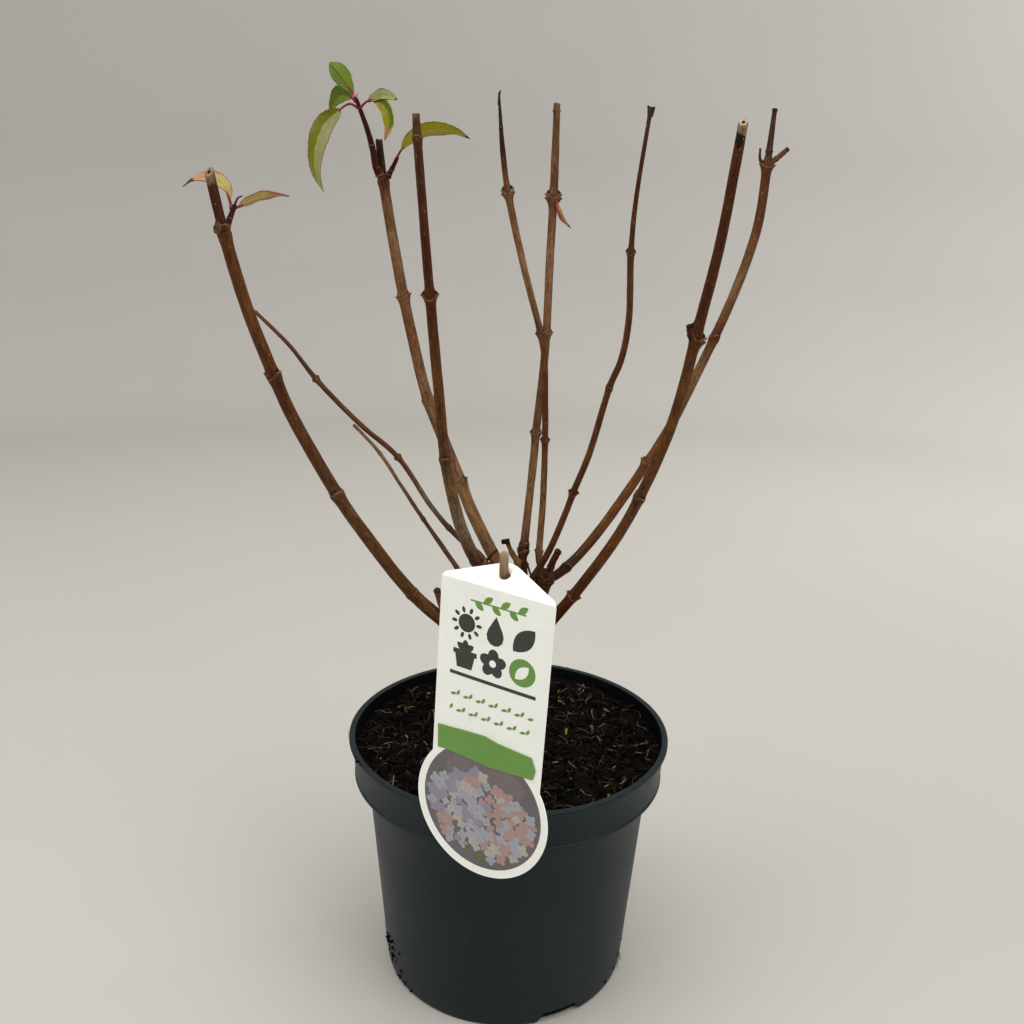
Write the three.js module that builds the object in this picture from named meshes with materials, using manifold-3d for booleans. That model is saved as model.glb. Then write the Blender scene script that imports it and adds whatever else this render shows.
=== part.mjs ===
// A potted hydrangea shrub in late autumn: almost bare pruned canes, a few last leaves,
// a round nursery pot full of compost, and a folded card label hung on a pruned stub.
// Millimetres, +Z up. The origin is the middle of the pot's flat underside.
import * as THREE from 'three';
import { mergeVertices } from 'three/addons/utils/BufferGeometryUtils.js';
import Module from 'manifold-3d';

const wasm = await Module();
wasm.setup();

// Clearance between pieces that touch on the real object.
const GAP = 0.3;

// Nursery pot: a tapered cup with a deep rim band and a thin lip.
const POT_SIDES = 48;
const POT_HEIGHT = 180.5;
const POT_BASE_RADIUS = 88;
const POT_BODY_TOP_RADIUS = 100.4;
const POT_WALL = 1.8;
const FLOOR_THICKNESS = 2.4;
const BAND_HEIGHT = 28.5;
const BAND_BOTTOM_RADIUS = 109;
const BAND_TOP_RADIUS = 110.8;
const LIP_RADIUS = 113.2;
const LIP_HEIGHT = 2.6;
const BASE_ROUNDING = 2;
const DRAIN_NOTCHES = { count: 3, firstAngle: -63.5, width: 32, height: 8, depth: 13 };

// Compost: a shallow dish, lowest round the foot of the stem and higher at the pot's wall.
const SOIL_LEVEL = 168;
const SOIL_EDGE_RISE = 2.8;
const SOIL_FLAT_RADIUS = 24;
const SOIL_SHOULDER = { radius: 70, rise: 0.8 };

// Wood. Every limb is a tapering rod whose joints, where leaves once stood, are swollen in pairs.
const RING_SPACING = 26;
const CROWDED_SPACING = 6.5;
const JOINT_SWELL = 0.3;
const JOINT_PAIR = 0.16;
const JOINT_RINGS = [[-1.5, 0], [-0.6, 0.55], [0, 1], [0.55, 0.5], [1.4, 0]];
const CUT_BEVEL = 0.12;
const DOME_RINGS = [[0.5, 0.87], [0.87, 0.5], [0.99, 0.12]];
const ARM_SIDES = 12;
const STOUT_CANE = { fromRadius: 4, sides: 11 };
const SLENDER_CANE_SIDES = 9;
const SNAG_SIDES = 7;

// Leaves: thin blades, folded along the rib, on round stalks. A leaf's lean sets where it is widest.
const LEAF_THICKNESS = 0.9;
const LEAF_STEPS = 9;
const LEAF_TIP_HALF_WIDTH = 0.45;
const LEAF_LEAN = 0.8;
const LEAF_FULLNESS = 0.9;
const SHOOT_SIDES = 8;
const STALK = { radius: [0.95, 0.7], sides: 6 };

// Card label, hung by its folded gable. Across and down are its own directions.
const CARD = {
  thickness: 0.8,
  corner: [-40, -113.6, 169.2],
  yaw: -29.7,
  roll: 3.2,
  width: 73.4,
  bulb: { across: 35.6, down: 141, radius: 45 },
  gable: {
    tilt: 40,
    eaves: { inset: 4, rise: 3.5 },
    shoulders: { halfWidth: 7, rise: 15.8 },
    peak: 19.4,
    hole: [36.7, 10.3],
    holeRadius: 3.6,
  },
};

// Curve steps and tolerances of the meshes.
const ARC_STEPS_PER_POINT = 40;
const BULB_STEPS = 40;
const GABLE_STEPS = 8;
const MERGE_DISTANCE = 1e-4;
const FLATNESS = 0.01;

const MATERIALS = {
  pot: { color: 0x1d2628, roughness: 0.42, metalness: 0 },
  compost: { color: 0x1c130d, roughness: 1, metalness: 0 },
  oldWood: { color: 0x5a4030, roughness: 0.85, metalness: 0 },
  cane: { color: 0x7a5238, roughness: 0.6, metalness: 0 },
  paleWood: { color: 0xa58560, roughness: 0.9, metalness: 0 },
  leaf: { color: 0x7e8d3a, roughness: 0.5, metalness: 0 },
  dryLeaf: { color: 0xa5623a, roughness: 0.7, metalness: 0 },
  card: { color: 0xe9e8e2, roughness: 0.35, metalness: 0 },
};

// The stems, in millimetres from the middle of the compost's surface. A path runs from the foot,
// hidden in what carries it, to the tip; joints are the swollen points, by their place in the path.
// A radius is given at the foot and at the tip, and a waist gives it at places of the path between.
const STEM = {
  name: 'main_stem',
  path: [[-6, 0, GAP], [-6, 0, 24], [-5, 0, 58]],
  radius: [9.6, 8.6],
  sides: 14,
  flare: { extra: 4.4, height: 20, lobes: 5, lobeDepth: 0.1 },
  joints: [],
  material: 'oldWood',
  top: 'dome',
};

const ARMS = [
  {
    name: 'left_arm',
    path: [[-6, 1, 40], [-11, 6, 78], [-15, 10, 107], [-19.5, 8.5, 130]],
    radius: [7.4, 5.6],
  },
  {
    name: 'centre_arm',
    path: [[-4, 2, 40], [0.5, 6, 78], [3.2, 8.5, 107], [6, 10, 127]],
    radius: [6.6, 4.8],
    snags: [
      { path: [[5, 9, 126], [4, 9, 134], [0, 8, 141], [-3.6, 6.5, 149.6]], radius: [3.2, 1.5] },
      { path: [[-2.2, 6, 150.8], [-7.2, 6, 150.2]], radius: [1.6, 1.3] },
    ],
  },
  {
    name: 'right_arm',
    path: [[-3, 2, 40], [6, 4, 74], [15, 4.5, 102], [22.5, 4.5, 124]],
    radius: [6.6, 6],
    snags: [{ path: [[24.5, 3, 126], [27.4, 1, 138], [31, 0, 146.4]], radius: [3, 2.2] }],
  },
];

const CANES = [
  {
    name: 'cane_far_left',
    path: [
      [-5, 0, 44], [-22, -1, 68], [-41, -4.5, 90], [-67.4, -14, 119], [-100.5, -29, 171],
      [-113, -36, 194.5], [-136.9, -49, 247.5], [-144.7, -55, 271.5], [-156.9, -63, 312.5],
      [-166, -70, 356], [-171, -72, 384.5],
    ],
    joints: [3, 5, 7, 9],
    radius: [6.6, 2.75],
    waist: [[2, 4.7], [3, 4.3], [5, 4], [8.8, 3.5], [9.15, 2.85]],
    snags: [{ path: [[-41, -5, 91], [-47, -11, 108], [-50.5, -14, 121.5]], radius: [2.6, 2.3] }],
  },
  {
    name: 'cane_front_left',
    path: [
      [-19.5, 8.5, 130], [-25.7, 3.2, 139], [-34.4, -4.6, 161.4], [-41.8, -15.8, 195.5],
      [-44.7, -22.3, 215.7], [-48, -37.8, 264.5], [-51.5, -53.9, 318.7], [-54.1, -65, 362],
      [-56.7, -73, 405.6], [-57.3, -74, 416.7],
    ],
    joints: [4, 6, 8],
    radius: [4.6, 2],
    waist: [[4, 3.5], [6, 3], [6.2, 2.75], [8, 2.4]],
  },
  {
    name: 'cane_back_left',
    path: [
      [2, 8, 108], [-4, 12.5, 119], [-9.3, 18, 128.4], [-18.9, 26.8, 143.8], [-31.7, 38.7, 166.6],
      [-38, 45.4, 181], [-51, 58, 209], [-64, 70, 238], [-76.2, 84.3, 280.4], [-82.8, 92.1, 306.7],
      [-91.8, 102.5, 350], [-98.7, 109.7, 389], [-101.5, 112, 414],
    ],
    joints: [5, 7, 9, 11],
    radius: [4.7, 2.45],
    waist: [[5, 4.2], [9, 3.8], [10.85, 3.7], [11.1, 2.9]],
  },
  {
    name: 'cane_back_centre',
    path: [
      [6, 10, 127], [7.4, 13.6, 141], [8, 15, 146], [10.1, 23.1, 168.4], [13.5, 35, 205],
      [14.5, 39.6, 219.6], [19, 53.3, 265.3], [20.3, 59.3, 286.8], [21.5, 71.3, 332.4],
      [23, 82, 378], [23.6, 88.5, 412], [23.8, 92, 439],
    ],
    joints: [2, 5, 7, 9],
    radius: [3.1, 2.35],
    waist: [[3, 2.75], [9.8, 2.85], [10.3, 2.45]],
  },
  {
    name: 'cane_front_centre',
    path: [
      [21.5, 4.5, 126], [18.4, 5.3, 138], [18.2, 5.6, 144], [19.9, 7.4, 180], [20.1, 9.5, 220.7],
      [19.3, 11, 248], [17.6, 12.5, 280], [15.2, 13.3, 291.5], [3.7, 15.6, 331.6],
      [-8, 18.5, 379.5], [-11.8, 20, 404.6], [-14.8, 22, 438],
    ],
    joints: [2, 4, 7, 9],
    radius: [2.4, 0.6],
    waist: [[4, 2.1], [8.8, 2.25], [9.1, 1.85], [10, 1.75], [10.5, 1.15]],
  },
  {
    name: 'cane_slender_right',
    path: [
      [4, 7, 108], [9.3, 1.2, 119], [14.3, -3, 128.4], [23.7, -10.6, 148.4], [34.1, -22.3, 180.7],
      [37.9, -27.4, 195], [46.2, -37.4, 222.5], [55.9, -53.8, 268.8], [61, -60, 285.3],
      [63.5, -68, 309.3], [61.3, -80.6, 347.5], [61.8, -89, 376], [65.9, -98, 420],
    ],
    joints: [5, 7, 10],
    radius: [2.3, 1.05],
    waist: [[6, 2.05], [9.9, 1.85], [10.15, 1.5], [11.2, 1.2]],
  },
  {
    name: 'cane_front_right',
    path: [
      [-2, -2, 46], [10, -3.5, 72], [23.5, -6, 92.3], [41.3, -16.2, 120.4], [66, -32, 165.5],
      [79, -43, 198], [92.4, -56.6, 242.3], [98, -65.4, 272.2], [101.8, -74, 302.5],
      [108.8, -86.3, 352.4], [112.4, -94, 393], [114.3, -96, 414],
    ],
    joints: [3, 5, 8],
    radius: [4.8, 2.6],
    waist: [[3, 3.7], [4.2, 3.4], [8, 3.15], [9, 2.9]],
    snags: [{ path: [[100.6, -73.5, 299.6], [98.4, -74.5, 303], [97.2, -75, 307.6]], radius: [2.2, 1.7] }],
  },
  {
    name: 'cane_back_right',
    path: [
      [22.5, 4.5, 124], [29.5, 6, 126.2], [45.3, 12.7, 138.7], [65.9, 22.7, 162.9],
      [92.6, 36, 200.7], [109, 44.3, 226.5], [127, 54.4, 262.6], [138, 60.3, 286.4],
      [152.8, 68.2, 321.8], [165, 75.8, 362.3], [169.4, 81.6, 404],
    ],
    joints: [4, 7],
    radius: [3.3, 3.2],
    top: 'dome',
    snags: [
      { path: [[169.4, 81.6, 403], [170.5, 83, 420], [171.7, 84, 438]], radius: [2.6, 1.6] },
      { path: [[169.4, 81.6, 402], [176, 81, 407], [182, 80, 412.6]], radius: [2.2, 1.5] },
      { path: [[168.6, 81.8, 402], [164.6, 82.4, 404.8], [163.6, 82.5, 412.6]], radius: [1.6, 0.6] },
    ],
  },
  {
    name: 'cane_thin_left_long',
    path: [
      [-16, 9, 121], [-17.8, 15, 129], [-23, 20.5, 135.5], [-31.5, 23.6, 141], [-46, 29, 153],
      [-59, 35, 167], [-82.5, 45.5, 198.5], [-110.5, 54, 220.3], [-142.5, 64, 250],
      [-161.5, 69.5, 272.5], [-186.4, 74, 296],
    ],
    joints: [4, 6, 8],
    radius: [2.6, 1.3],
    waist: [[4, 1.8], [8, 1.8], [9, 1.45]],
  },
  {
    name: 'cane_thin_left_short',
    path: [
      [-14, 9, 96], [-21.5, 9.8, 104.5], [-29.4, 14, 113], [-40, 23, 126], [-65, 42, 155],
      [-82.4, 54, 177], [-98.7, 64.4, 197.8], [-117.6, 72, 215.8],
    ],
    joints: [4, 6],
    radius: [2.2, 1.2],
    waist: [[4, 1.45]],
  },
  {
    name: 'pruned_stub_front',
    path: [
      [-5, -3, 34], [-5, -24, 50], [-5, -66, 88], [-5, -108, 136], [-4.9, -124, 158],
      [-4.9, -125, 172], [-4.7, -125, 186.8],
    ],
    joints: [2],
    radius: [4.2, 2.6],
    material: 'paleWood',
  },
];

// Leaf sprays: a dark shoot, stalks fused to it, and blades fused to the stalks.
const SPRAYS = [
  {
    name: 'leaf_spray_left',
    on: 'cane_far_left',
    shoots: [
      { path: [[-164.6, -67.2, 355], [-162.3, -64.5, 362.3], [-160.6, -62.5, 367.2]], radius: [1.8, 1.3] },
      { path: [[-161.8, -62.5, 366], [-158.6, -63.4, 370.4], [-156.9, -64, 372]], radius: [1, 0.6] },
    ],
    leaves: [
      {
        stalk: [[-162.3, -63, 365.6], [-163.2, -61, 368.8], [-165.4, -58.8, 374.5]],
        rib: [
          [-163.2, -61, 368.8], [-166.4, -58, 376.9], [-172, -56, 381.2], [-179, -57, 382.4],
          [-184.7, -59, 380.7], [-189.2, -62, 377.1],
        ],
        side: [0.15, -0.8, -0.6],
        halfWidth: 4.6,
        fold: 12,
      },
      {
        stalk: [[-161.6, -62.5, 366], [-159.4, -60.8, 366.7], [-154.5, -57.6, 370.2]],
        rib: [
          [-159.4, -60.8, 366.3], [-153.7, -57, 370.3], [-147.4, -52, 372.7],
          [-140.3, -48, 373.9], [-133, -46, 373.4],
        ],
        side: [0.3, 0.75, -0.45],
        halfWidth: 3.4,
        fold: 12,
      },
    ],
  },
  {
    name: 'leaf_spray_top',
    on: 'cane_back_left',
    shoots: [
      {
        path: [
          [-100.6, 108, 390.5], [-103, 106, 396], [-105.3, 105, 408.7],
          [-108.8, 103, 421.8], [-112.8, 101, 433.3], [-115.8, 100, 441.6],
        ],
        radius: [2.7, 1.3],
      },
    ],
    leaves: [
      {
        stalk: [[-114, 101, 434.6], [-119.5, 98, 436.9], [-124.6, 95, 434], [-129.5, 91, 428.9]],
        rib: [
          [-125.4, 94.5, 433], [-134.5, 87, 423.9], [-139, 80, 413], [-140.6, 74, 400.4],
          [-139.3, 71, 388.7], [-134.2, 70, 377.4],
        ],
        side: [0.85, 0.5, 0.1],
        halfWidth: 6.8,
        fold: 18,
        lean: 0.68,
      },
      {
        stalk: [[-116, 100, 440], [-117.6, 100.4, 444], [-121.4, 102.4, 449.4]],
        rib: [[-116.8, 100, 442.9], [-122.7, 103, 451.2], [-128.7, 107, 458.3], [-135.3, 112, 464.6]],
        side: [0.8, -0.2, 0.5],
        halfWidth: 6.4,
        fold: 12,
        lean: 1.05,
      },
      {
        stalk: [[-115.8, 100.2, 438.6], [-119, 101.4, 441.3], [-123.4, 105, 443.2]],
        rib: [[-118.4, 101, 441.3], [-124.7, 106, 443.7], [-131, 112, 442.5], [-136.8, 117, 433.6]],
        side: [0.35, -0.45, -0.8],
        halfWidth: 6.5,
        fold: 10,
      },
      {
        stalk: [[-113.7, 101, 433.4], [-109.6, 97, 437], [-105.7, 94, 439], [-100.8, 91, 439.8]],
        rib: [[-106.6, 96, 439.4], [-98.9, 90.4, 442], [-91.4, 85.6, 441.5], [-85, 82, 438.8]],
        side: [-0.1, 0.6, 0.8],
        halfWidth: 4.4,
        fold: 10,
      },
      {
        stalk: [[-105.7, 94, 438.8], [-102.6, 92, 439.2], [-98.4, 89.4, 438.6]],
        rib: [
          [-102.6, 92, 438.8], [-96.7, 88, 437.3], [-91.7, 86, 431.1], [-91.3, 87, 422.2],
          [-94.9, 90, 412.6],
        ],
        side: [0.8, -0.5, 0.25],
        halfWidth: 4.9,
        fold: 14,
      },
    ],
  },
  {
    name: 'leaf_spray_side',
    on: 'cane_back_left',
    shoots: [
      { path: [[-95, 107, 389.5], [-90.8, 104.6, 396.5], [-87.6, 102, 402.2]], radius: [2, 1.3] },
    ],
    leaves: [
      {
        stalk: [[-88.6, 102.8, 400.4], [-85.9, 100.5, 405.4], [-82.3, 99, 410], [-77.6, 98, 414.2]],
        rib: [
          [-84.5, 99.5, 407.3], [-77.7, 98, 414.3], [-69.8, 97, 419.3], [-59.8, 97.5, 420.9],
          [-48, 99.5, 420.8], [-36.3, 103, 416.3],
        ],
        side: [0.1, 0.75, -0.6],
        halfWidth: 6.8,
        fold: 12,
      },
    ],
  },
  {
    name: 'dry_leaf',
    on: 'cane_back_centre',
    material: 'dryLeaf',
    shoots: [],
    leaves: [
      {
        stalk: [[23, 80.6, 378], [26.1, 77, 373.6], [28, 75.4, 370]],
        rib: [[25.2, 78, 375], [27.6, 75.4, 369.6], [30.4, 74.2, 363.8], [34.9, 74, 357.5]],
        side: [0.8, -0.3, 0.5],
        halfWidth: 2.4,
        fold: 20,
      },
    ],
  },
];

const vector = ([x, y, z]) => new THREE.Vector3(x, y, z);

// A closed three.js geometry as a solid that can be joined and cut.
function solidOf(geometry) {
  const bare = geometry.clone();
  bare.deleteAttribute('normal');
  bare.deleteAttribute('uv');
  const merged = mergeVertices(bare, MERGE_DISTANCE);
  const corners = merged.index.array;
  const kept = [];
  for (let i = 0; i < corners.length; i += 3) {
    const [a, b, c] = corners.slice(i, i + 3);
    if (a !== b && b !== c && c !== a) kept.push(a, b, c);
  }
  return new wasm.Manifold(new wasm.Mesh({
    numProp: 3,
    vertProperties: merged.attributes.position.array,
    triVerts: new Uint32Array(kept),
  }));
}

// A solid's largest body, as a three.js geometry with flat shading.
function geometryOf(solid) {
  const bodies = solid.decompose().sort((a, b) => b.volume() - a.volume());
  const mesh = bodies[0].simplify(FLATNESS).getMesh();
  const geometry = new THREE.BufferGeometry();
  geometry.setAttribute('position', new THREE.BufferAttribute(new Float32Array(mesh.vertProperties), 3));
  geometry.setIndex(new THREE.BufferAttribute(new Uint32Array(mesh.triVerts), 1));
  const flat = geometry.toNonIndexed();
  flat.computeVertexNormals();
  return flat;
}

// Lengths along a limb where it has a ring of corners, each with how swollen the joint is there.
function limbRings(length, jointLengths, radiusAt) {
  const rings = [];
  for (const [index, middle] of jointLengths.entries()) {
    for (const [offset, strength] of JOINT_RINGS) {
      const at = middle + offset * radiusAt(middle / length);
      if (at > 0 && at < length) rings.push({ at, strength, pair: index });
    }
  }
  const steps = Math.max(2, Math.round(length / RING_SPACING));
  for (let i = 0; i <= steps; i += 1) {
    const at = (length * i) / steps;
    const crowded = rings.some((ring) => Math.abs(ring.at - at) < CROWDED_SPACING);
    if (i === 0 || i === steps || !crowded) rings.push({ at, strength: 0, pair: 0 });
  }
  return rings.sort((a, b) => a.at - b.at);
}

// The rule for a limb's radius at a share of its length: straight between stops of share and radius.
function radiusRule(stops) {
  return (share) => {
    const next = Math.max(1, stops.findIndex(([stop]) => stop >= Math.min(share, 1)));
    const [[low, before], [high, after]] = [stops[next - 1], stops[next]];
    return before + ((after - before) * (share - low)) / (high - low);
  };
}

// One tapering limb: a lathe-turned rod bent along the curve through its path.
function limbSolid(limb, grow = 0) {
  const { path, radius, waist = [], joints = [], sides = 10, top = 'cut', flare = null } = limb;
  const points = path.map(vector);
  const curve = new THREE.CatmullRomCurve3(points, false, 'centripetal');
  curve.arcLengthDivisions = ARC_STEPS_PER_POINT * points.length;
  const length = curve.getLength();
  const lengths = curve.getLengths();
  const stepAt = (i) => Math.round((i / (points.length - 1)) * curve.arcLengthDivisions);
  const stops = [[0, radius[0]], ...waist, [points.length - 1, radius[1]]];
  const radiusAt = radiusRule(stops.map(([i, size]) => [lengths[stepAt(i)] / length, size]));
  const rings = limbRings(length, joints.map((i) => lengths[stepAt(i)]), radiusAt);

  const stations = rings.map((ring) => ({ ...ring, radius: radiusAt(ring.at / length) + grow }));
  const last = stations[stations.length - 1];
  if (top === 'dome') {
    for (const [rise, shrink] of DOME_RINGS) {
      stations.push({ ...last, rise: rise * last.radius, radius: last.radius * shrink });
    }
  } else {
    const bevel = CUT_BEVEL * last.radius + grow;
    stations.push({ ...last, rise: bevel, radius: last.radius - bevel });
  }

  const profile = [new THREE.Vector2(0, 0)];
  stations.forEach((station, i) => profile.push(new THREE.Vector2(station.radius, i)));
  profile.push(new THREE.Vector2(0, stations.length - 1));
  const rod = new THREE.LatheGeometry(profile, sides);

  const frames = [];
  const start = curve.getTangentAt(0);
  let across = vector(Math.abs(start.y) > Math.abs(start.x) ? [1, 0, 0] : [0, 1, 0]);
  for (const station of stations) {
    const u = Math.min(1, Math.max(0, station.at / length));
    const along = curve.getTangentAt(u);
    across = across.clone().addScaledVector(along, -across.dot(along)).normalize();
    const middle = curve.getPointAt(u).addScaledVector(along, station.rise ?? 0);
    frames.push({ middle, across, third: new THREE.Vector3().crossVectors(across, along) });
  }

  const position = rod.attributes.position;
  for (let i = 0; i < position.count; i += 1) {
    const column = i % profile.length;
    const index = Math.min(Math.max(column - 1, 0), stations.length - 1);
    const { strength, pair, at } = stations[index];
    const { middle, across: side, third } = frames[index];
    const x = position.getX(i);
    const z = position.getZ(i);
    const angle = Math.atan2(z, x);
    let swell = 1 + strength * (JOINT_SWELL + JOINT_PAIR * Math.cos(2 * (angle - (pair * Math.PI) / 2)));
    if (flare) {
      const low = Math.max(0, 1 - at / flare.height) ** 2;
      const spread = flare.extra / radius[0];
      swell *= 1 + low * (spread + flare.lobeDepth * Math.cos(flare.lobes * angle));
    }
    const moved = middle.clone().addScaledVector(side, x * swell).addScaledVector(third, z * swell);
    position.setXYZ(i, moved.x, moved.y, moved.z);
  }
  return solidOf(rod);
}

// A limb with its dead side snags fused on.
function limbWithSnags(limb, grow = 0) {
  const snags = (limb.snags ?? []).map((snag) => limbSolid({ sides: SNAG_SIDES, ...snag }, grow));
  return snags.reduce((joined, snag) => joined.add(snag), limbSolid(limb, grow));
}

// A leaf blade: a thin slab along its rib, drawn in to its outline and folded.
function bladeSolid({ rib, side, halfWidth, fold, lean = LEAF_LEAN }) {
  const curve = new THREE.CatmullRomCurve3(rib.map(vector), false, 'centripetal');
  const slab = new THREE.BoxGeometry(1, 2, LEAF_THICKNESS, LEAF_STEPS, 2, 1);
  const position = slab.attributes.position;
  const lift = Math.tan(THREE.MathUtils.degToRad(fold));
  for (let i = 0; i < position.count; i += 1) {
    const u = position.getX(i) + 0.5;
    const along = curve.getTangentAt(u);
    const across = vector(side);
    across.addScaledVector(along, -across.dot(along)).normalize();
    const up = new THREE.Vector3().crossVectors(along, across);
    const outline = Math.sin(Math.PI * u ** lean) ** LEAF_FULLNESS;
    const half = Math.max(LEAF_TIP_HALF_WIDTH, halfWidth * outline);
    const y = position.getY(i) * half;
    const z = position.getZ(i) + Math.abs(y) * lift;
    const moved = curve.getPointAt(u).addScaledVector(across, y).addScaledVector(up, z);
    position.setXYZ(i, moved.x, moved.y, moved.z);
  }
  return solidOf(slab);
}

function spraySolid(spray) {
  const parts = spray.shoots.map((shoot) => limbSolid({ ...shoot, sides: SHOOT_SIDES, top: 'dome' }));
  for (const leaf of spray.leaves) {
    parts.push(limbSolid({ path: leaf.stalk, ...STALK }));
    parts.push(bladeSolid(leaf));
  }
  return parts.reduce((joined, part) => joined.add(part));
}

// The pot's wall outside and inside, as radius against height.
function potOutside() {
  const bandBottom = POT_HEIGHT - BAND_HEIGHT;
  return [
    [POT_BASE_RADIUS - BASE_ROUNDING, 0],
    [POT_BASE_RADIUS, BASE_ROUNDING],
    [POT_BODY_TOP_RADIUS, bandBottom],
    [BAND_BOTTOM_RADIUS, bandBottom + 1],
    [BAND_TOP_RADIUS, POT_HEIGHT - LIP_HEIGHT],
    [LIP_RADIUS, POT_HEIGHT - LIP_HEIGHT + 0.5],
    [LIP_RADIUS, POT_HEIGHT],
  ];
}

function potInside() {
  const bandBottom = POT_HEIGHT - BAND_HEIGHT;
  return [
    [POT_BASE_RADIUS - POT_WALL, FLOOR_THICKNESS],
    [POT_BODY_TOP_RADIUS - POT_WALL, bandBottom],
    [BAND_BOTTOM_RADIUS - POT_WALL, bandBottom + 2],
    [BAND_TOP_RADIUS - POT_WALL, POT_HEIGHT],
  ];
}

function turned(profile) {
  return solidOf(new THREE.LatheGeometry(profile.map(([r, z]) => new THREE.Vector2(r, z)), POT_SIDES)
    .rotateX(Math.PI / 2));
}

function potSolid() {
  const wall = [[0, 0], ...potOutside(), ...potInside().reverse(), [0, FLOOR_THICKNESS]];
  let pot = turned(wall);
  const { count, firstAngle, width, height, depth } = DRAIN_NOTCHES;
  for (let i = 0; i < count; i += 1) {
    const notch = new THREE.BoxGeometry(2 * depth, width, 2 * height);
    notch.translate(POT_BASE_RADIUS, 0, 0);
    notch.rotateZ(THREE.MathUtils.degToRad(firstAngle + (360 * i) / count));
    pot = pot.subtract(solidOf(notch));
  }
  return pot;
}

// Radius of the pot's inner wall at a height.
function innerRadius(height) {
  const inside = potInside();
  const upper = inside.findIndex(([, z]) => z >= height);
  const [r0, z0] = inside[upper - 1];
  const [r1, z1] = inside[upper];
  return r0 + ((r1 - r0) * (height - z0)) / (z1 - z0);
}

function compostSolid() {
  const edge = SOIL_LEVEL + SOIL_EDGE_RISE;
  const wall = potInside().filter(([, z]) => z < edge).map(([r, z]) => [r - GAP, z]);
  wall[0][1] += GAP;
  return turned([
    [0, FLOOR_THICKNESS + GAP],
    ...wall,
    [innerRadius(edge) - GAP, edge],
    [SOIL_SHOULDER.radius, SOIL_LEVEL + SOIL_SHOULDER.rise],
    [SOIL_FLAT_RADIUS, SOIL_LEVEL],
    [0, SOIL_LEVEL],
  ]);
}

// The card's face: a strip that swells into a round bulb, seen with +X across and -Y down.
function cardSolid() {
  const { thickness, width, bulb, gable } = CARD;
  const leftAngle = Math.PI - Math.acos(bulb.across / bulb.radius);
  const rightAngle = Math.acos((width - bulb.across) / bulb.radius);
  const face = new THREE.Shape();
  face.moveTo(0, 0);
  face.absarc(bulb.across, -bulb.down, bulb.radius, leftAngle, rightAngle, false);
  face.lineTo(width, 0);
  const sheet = { depth: thickness, bevelEnabled: false };
  const plate = new THREE.ExtrudeGeometry(face, { ...sheet, curveSegments: BULB_STEPS });
  plate.translate(0, 0, -thickness);

  const { eaves, shoulders, peak, hole, holeRadius } = gable;
  const middle = width / 2;
  const roof = new THREE.Shape();
  roof.moveTo(0, 0);
  roof.lineTo(width, 0);
  roof.lineTo(width - eaves.inset, eaves.rise);
  roof.lineTo(middle + shoulders.halfWidth, shoulders.rise);
  roof.quadraticCurveTo(middle, peak, middle - shoulders.halfWidth, shoulders.rise);
  roof.lineTo(eaves.inset, eaves.rise);
  const opening = new THREE.Path();
  opening.absarc(hole[0], hole[1], holeRadius, 0, 2 * Math.PI, true);
  roof.holes.push(opening);
  const flap = new THREE.ExtrudeGeometry(roof, { ...sheet, curveSegments: GABLE_STEPS });
  flap.translate(0, 0, -thickness);
  flap.rotateX(THREE.MathUtils.degToRad(gable.tilt - 90));
  return solidOf(plate).add(solidOf(flap));
}

// The card's own frame: across to the right, +Y up the face, +Z out towards the viewer.
function cardMatrix() {
  const yaw = THREE.MathUtils.degToRad(CARD.yaw);
  const roll = THREE.MathUtils.degToRad(CARD.roll);
  const level = new THREE.Vector3(Math.cos(yaw), Math.sin(yaw), 0);
  const across = level.multiplyScalar(Math.cos(roll)).setZ(-Math.sin(roll));
  const out = new THREE.Vector3(Math.sin(yaw), -Math.cos(yaw), 0);
  const up = new THREE.Vector3().crossVectors(out, across);
  return new THREE.Matrix4().makeBasis(across, up, out).setPosition(vector(CARD.corner));
}

function meshOf(name, solid, material) {
  const mesh = new THREE.Mesh(geometryOf(solid), new THREE.MeshStandardMaterial(MATERIALS[material]));
  mesh.name = name;
  return mesh;
}

// Cuts a solid clear of every earlier limb that its box touches.
function clearOf(solid, others) {
  const box = solid.boundingBox();
  const near = others.filter(({ box: other }) => [0, 1, 2].every(
    (axis) => box.min[axis] < other.max[axis] && box.max[axis] > other.min[axis],
  ));
  return near.reduce((cut, other) => cut.subtract(other.solid), solid);
}

const shrub = new THREE.Group();
shrub.position.z = SOIL_LEVEL;
const grownLimbs = [];
const arms = ARMS.map((arm) => ({ ...arm, sides: ARM_SIDES, top: 'dome', material: 'oldWood' }));
const canes = CANES.map((cane) => ({
  material: 'cane',
  sides: cane.radius[0] > STOUT_CANE.fromRadius ? STOUT_CANE.sides : SLENDER_CANE_SIDES,
  ...cane,
}));
for (const limb of [STEM, ...arms, ...canes]) {
  shrub.add(meshOf(limb.name, clearOf(limbWithSnags(limb), grownLimbs), limb.material));
  const grown = limbWithSnags(limb, GAP);
  grownLimbs.push({ name: limb.name, solid: grown, box: grown.boundingBox() });
}
for (const spray of SPRAYS) {
  const carrier = grownLimbs.filter(({ name }) => name === spray.on);
  shrub.add(meshOf(spray.name, clearOf(spraySolid(spray), carrier), spray.material ?? 'leaf'));
}
const placed = cardMatrix();
const card = cardSolid().transform(placed.elements);
shrub.add(meshOf('label_card', clearOf(card, grownLimbs), 'card'));

const pot = new THREE.Group();
pot.add(meshOf('pot', potSolid(), 'pot'));
pot.add(meshOf('compost', compostSolid(), 'compost'));

const plant = new THREE.Group();
plant.add(pot, shrub);

export default plant;
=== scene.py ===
"""Looks for a potted hydrangea shrub in late autumn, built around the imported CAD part.

Lengths in the code are millimetres. Pieces of the plant are measured from the middle of the
compost's surface and pieces of the pot from its underside; each piece is set down in metres.
"""

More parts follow.
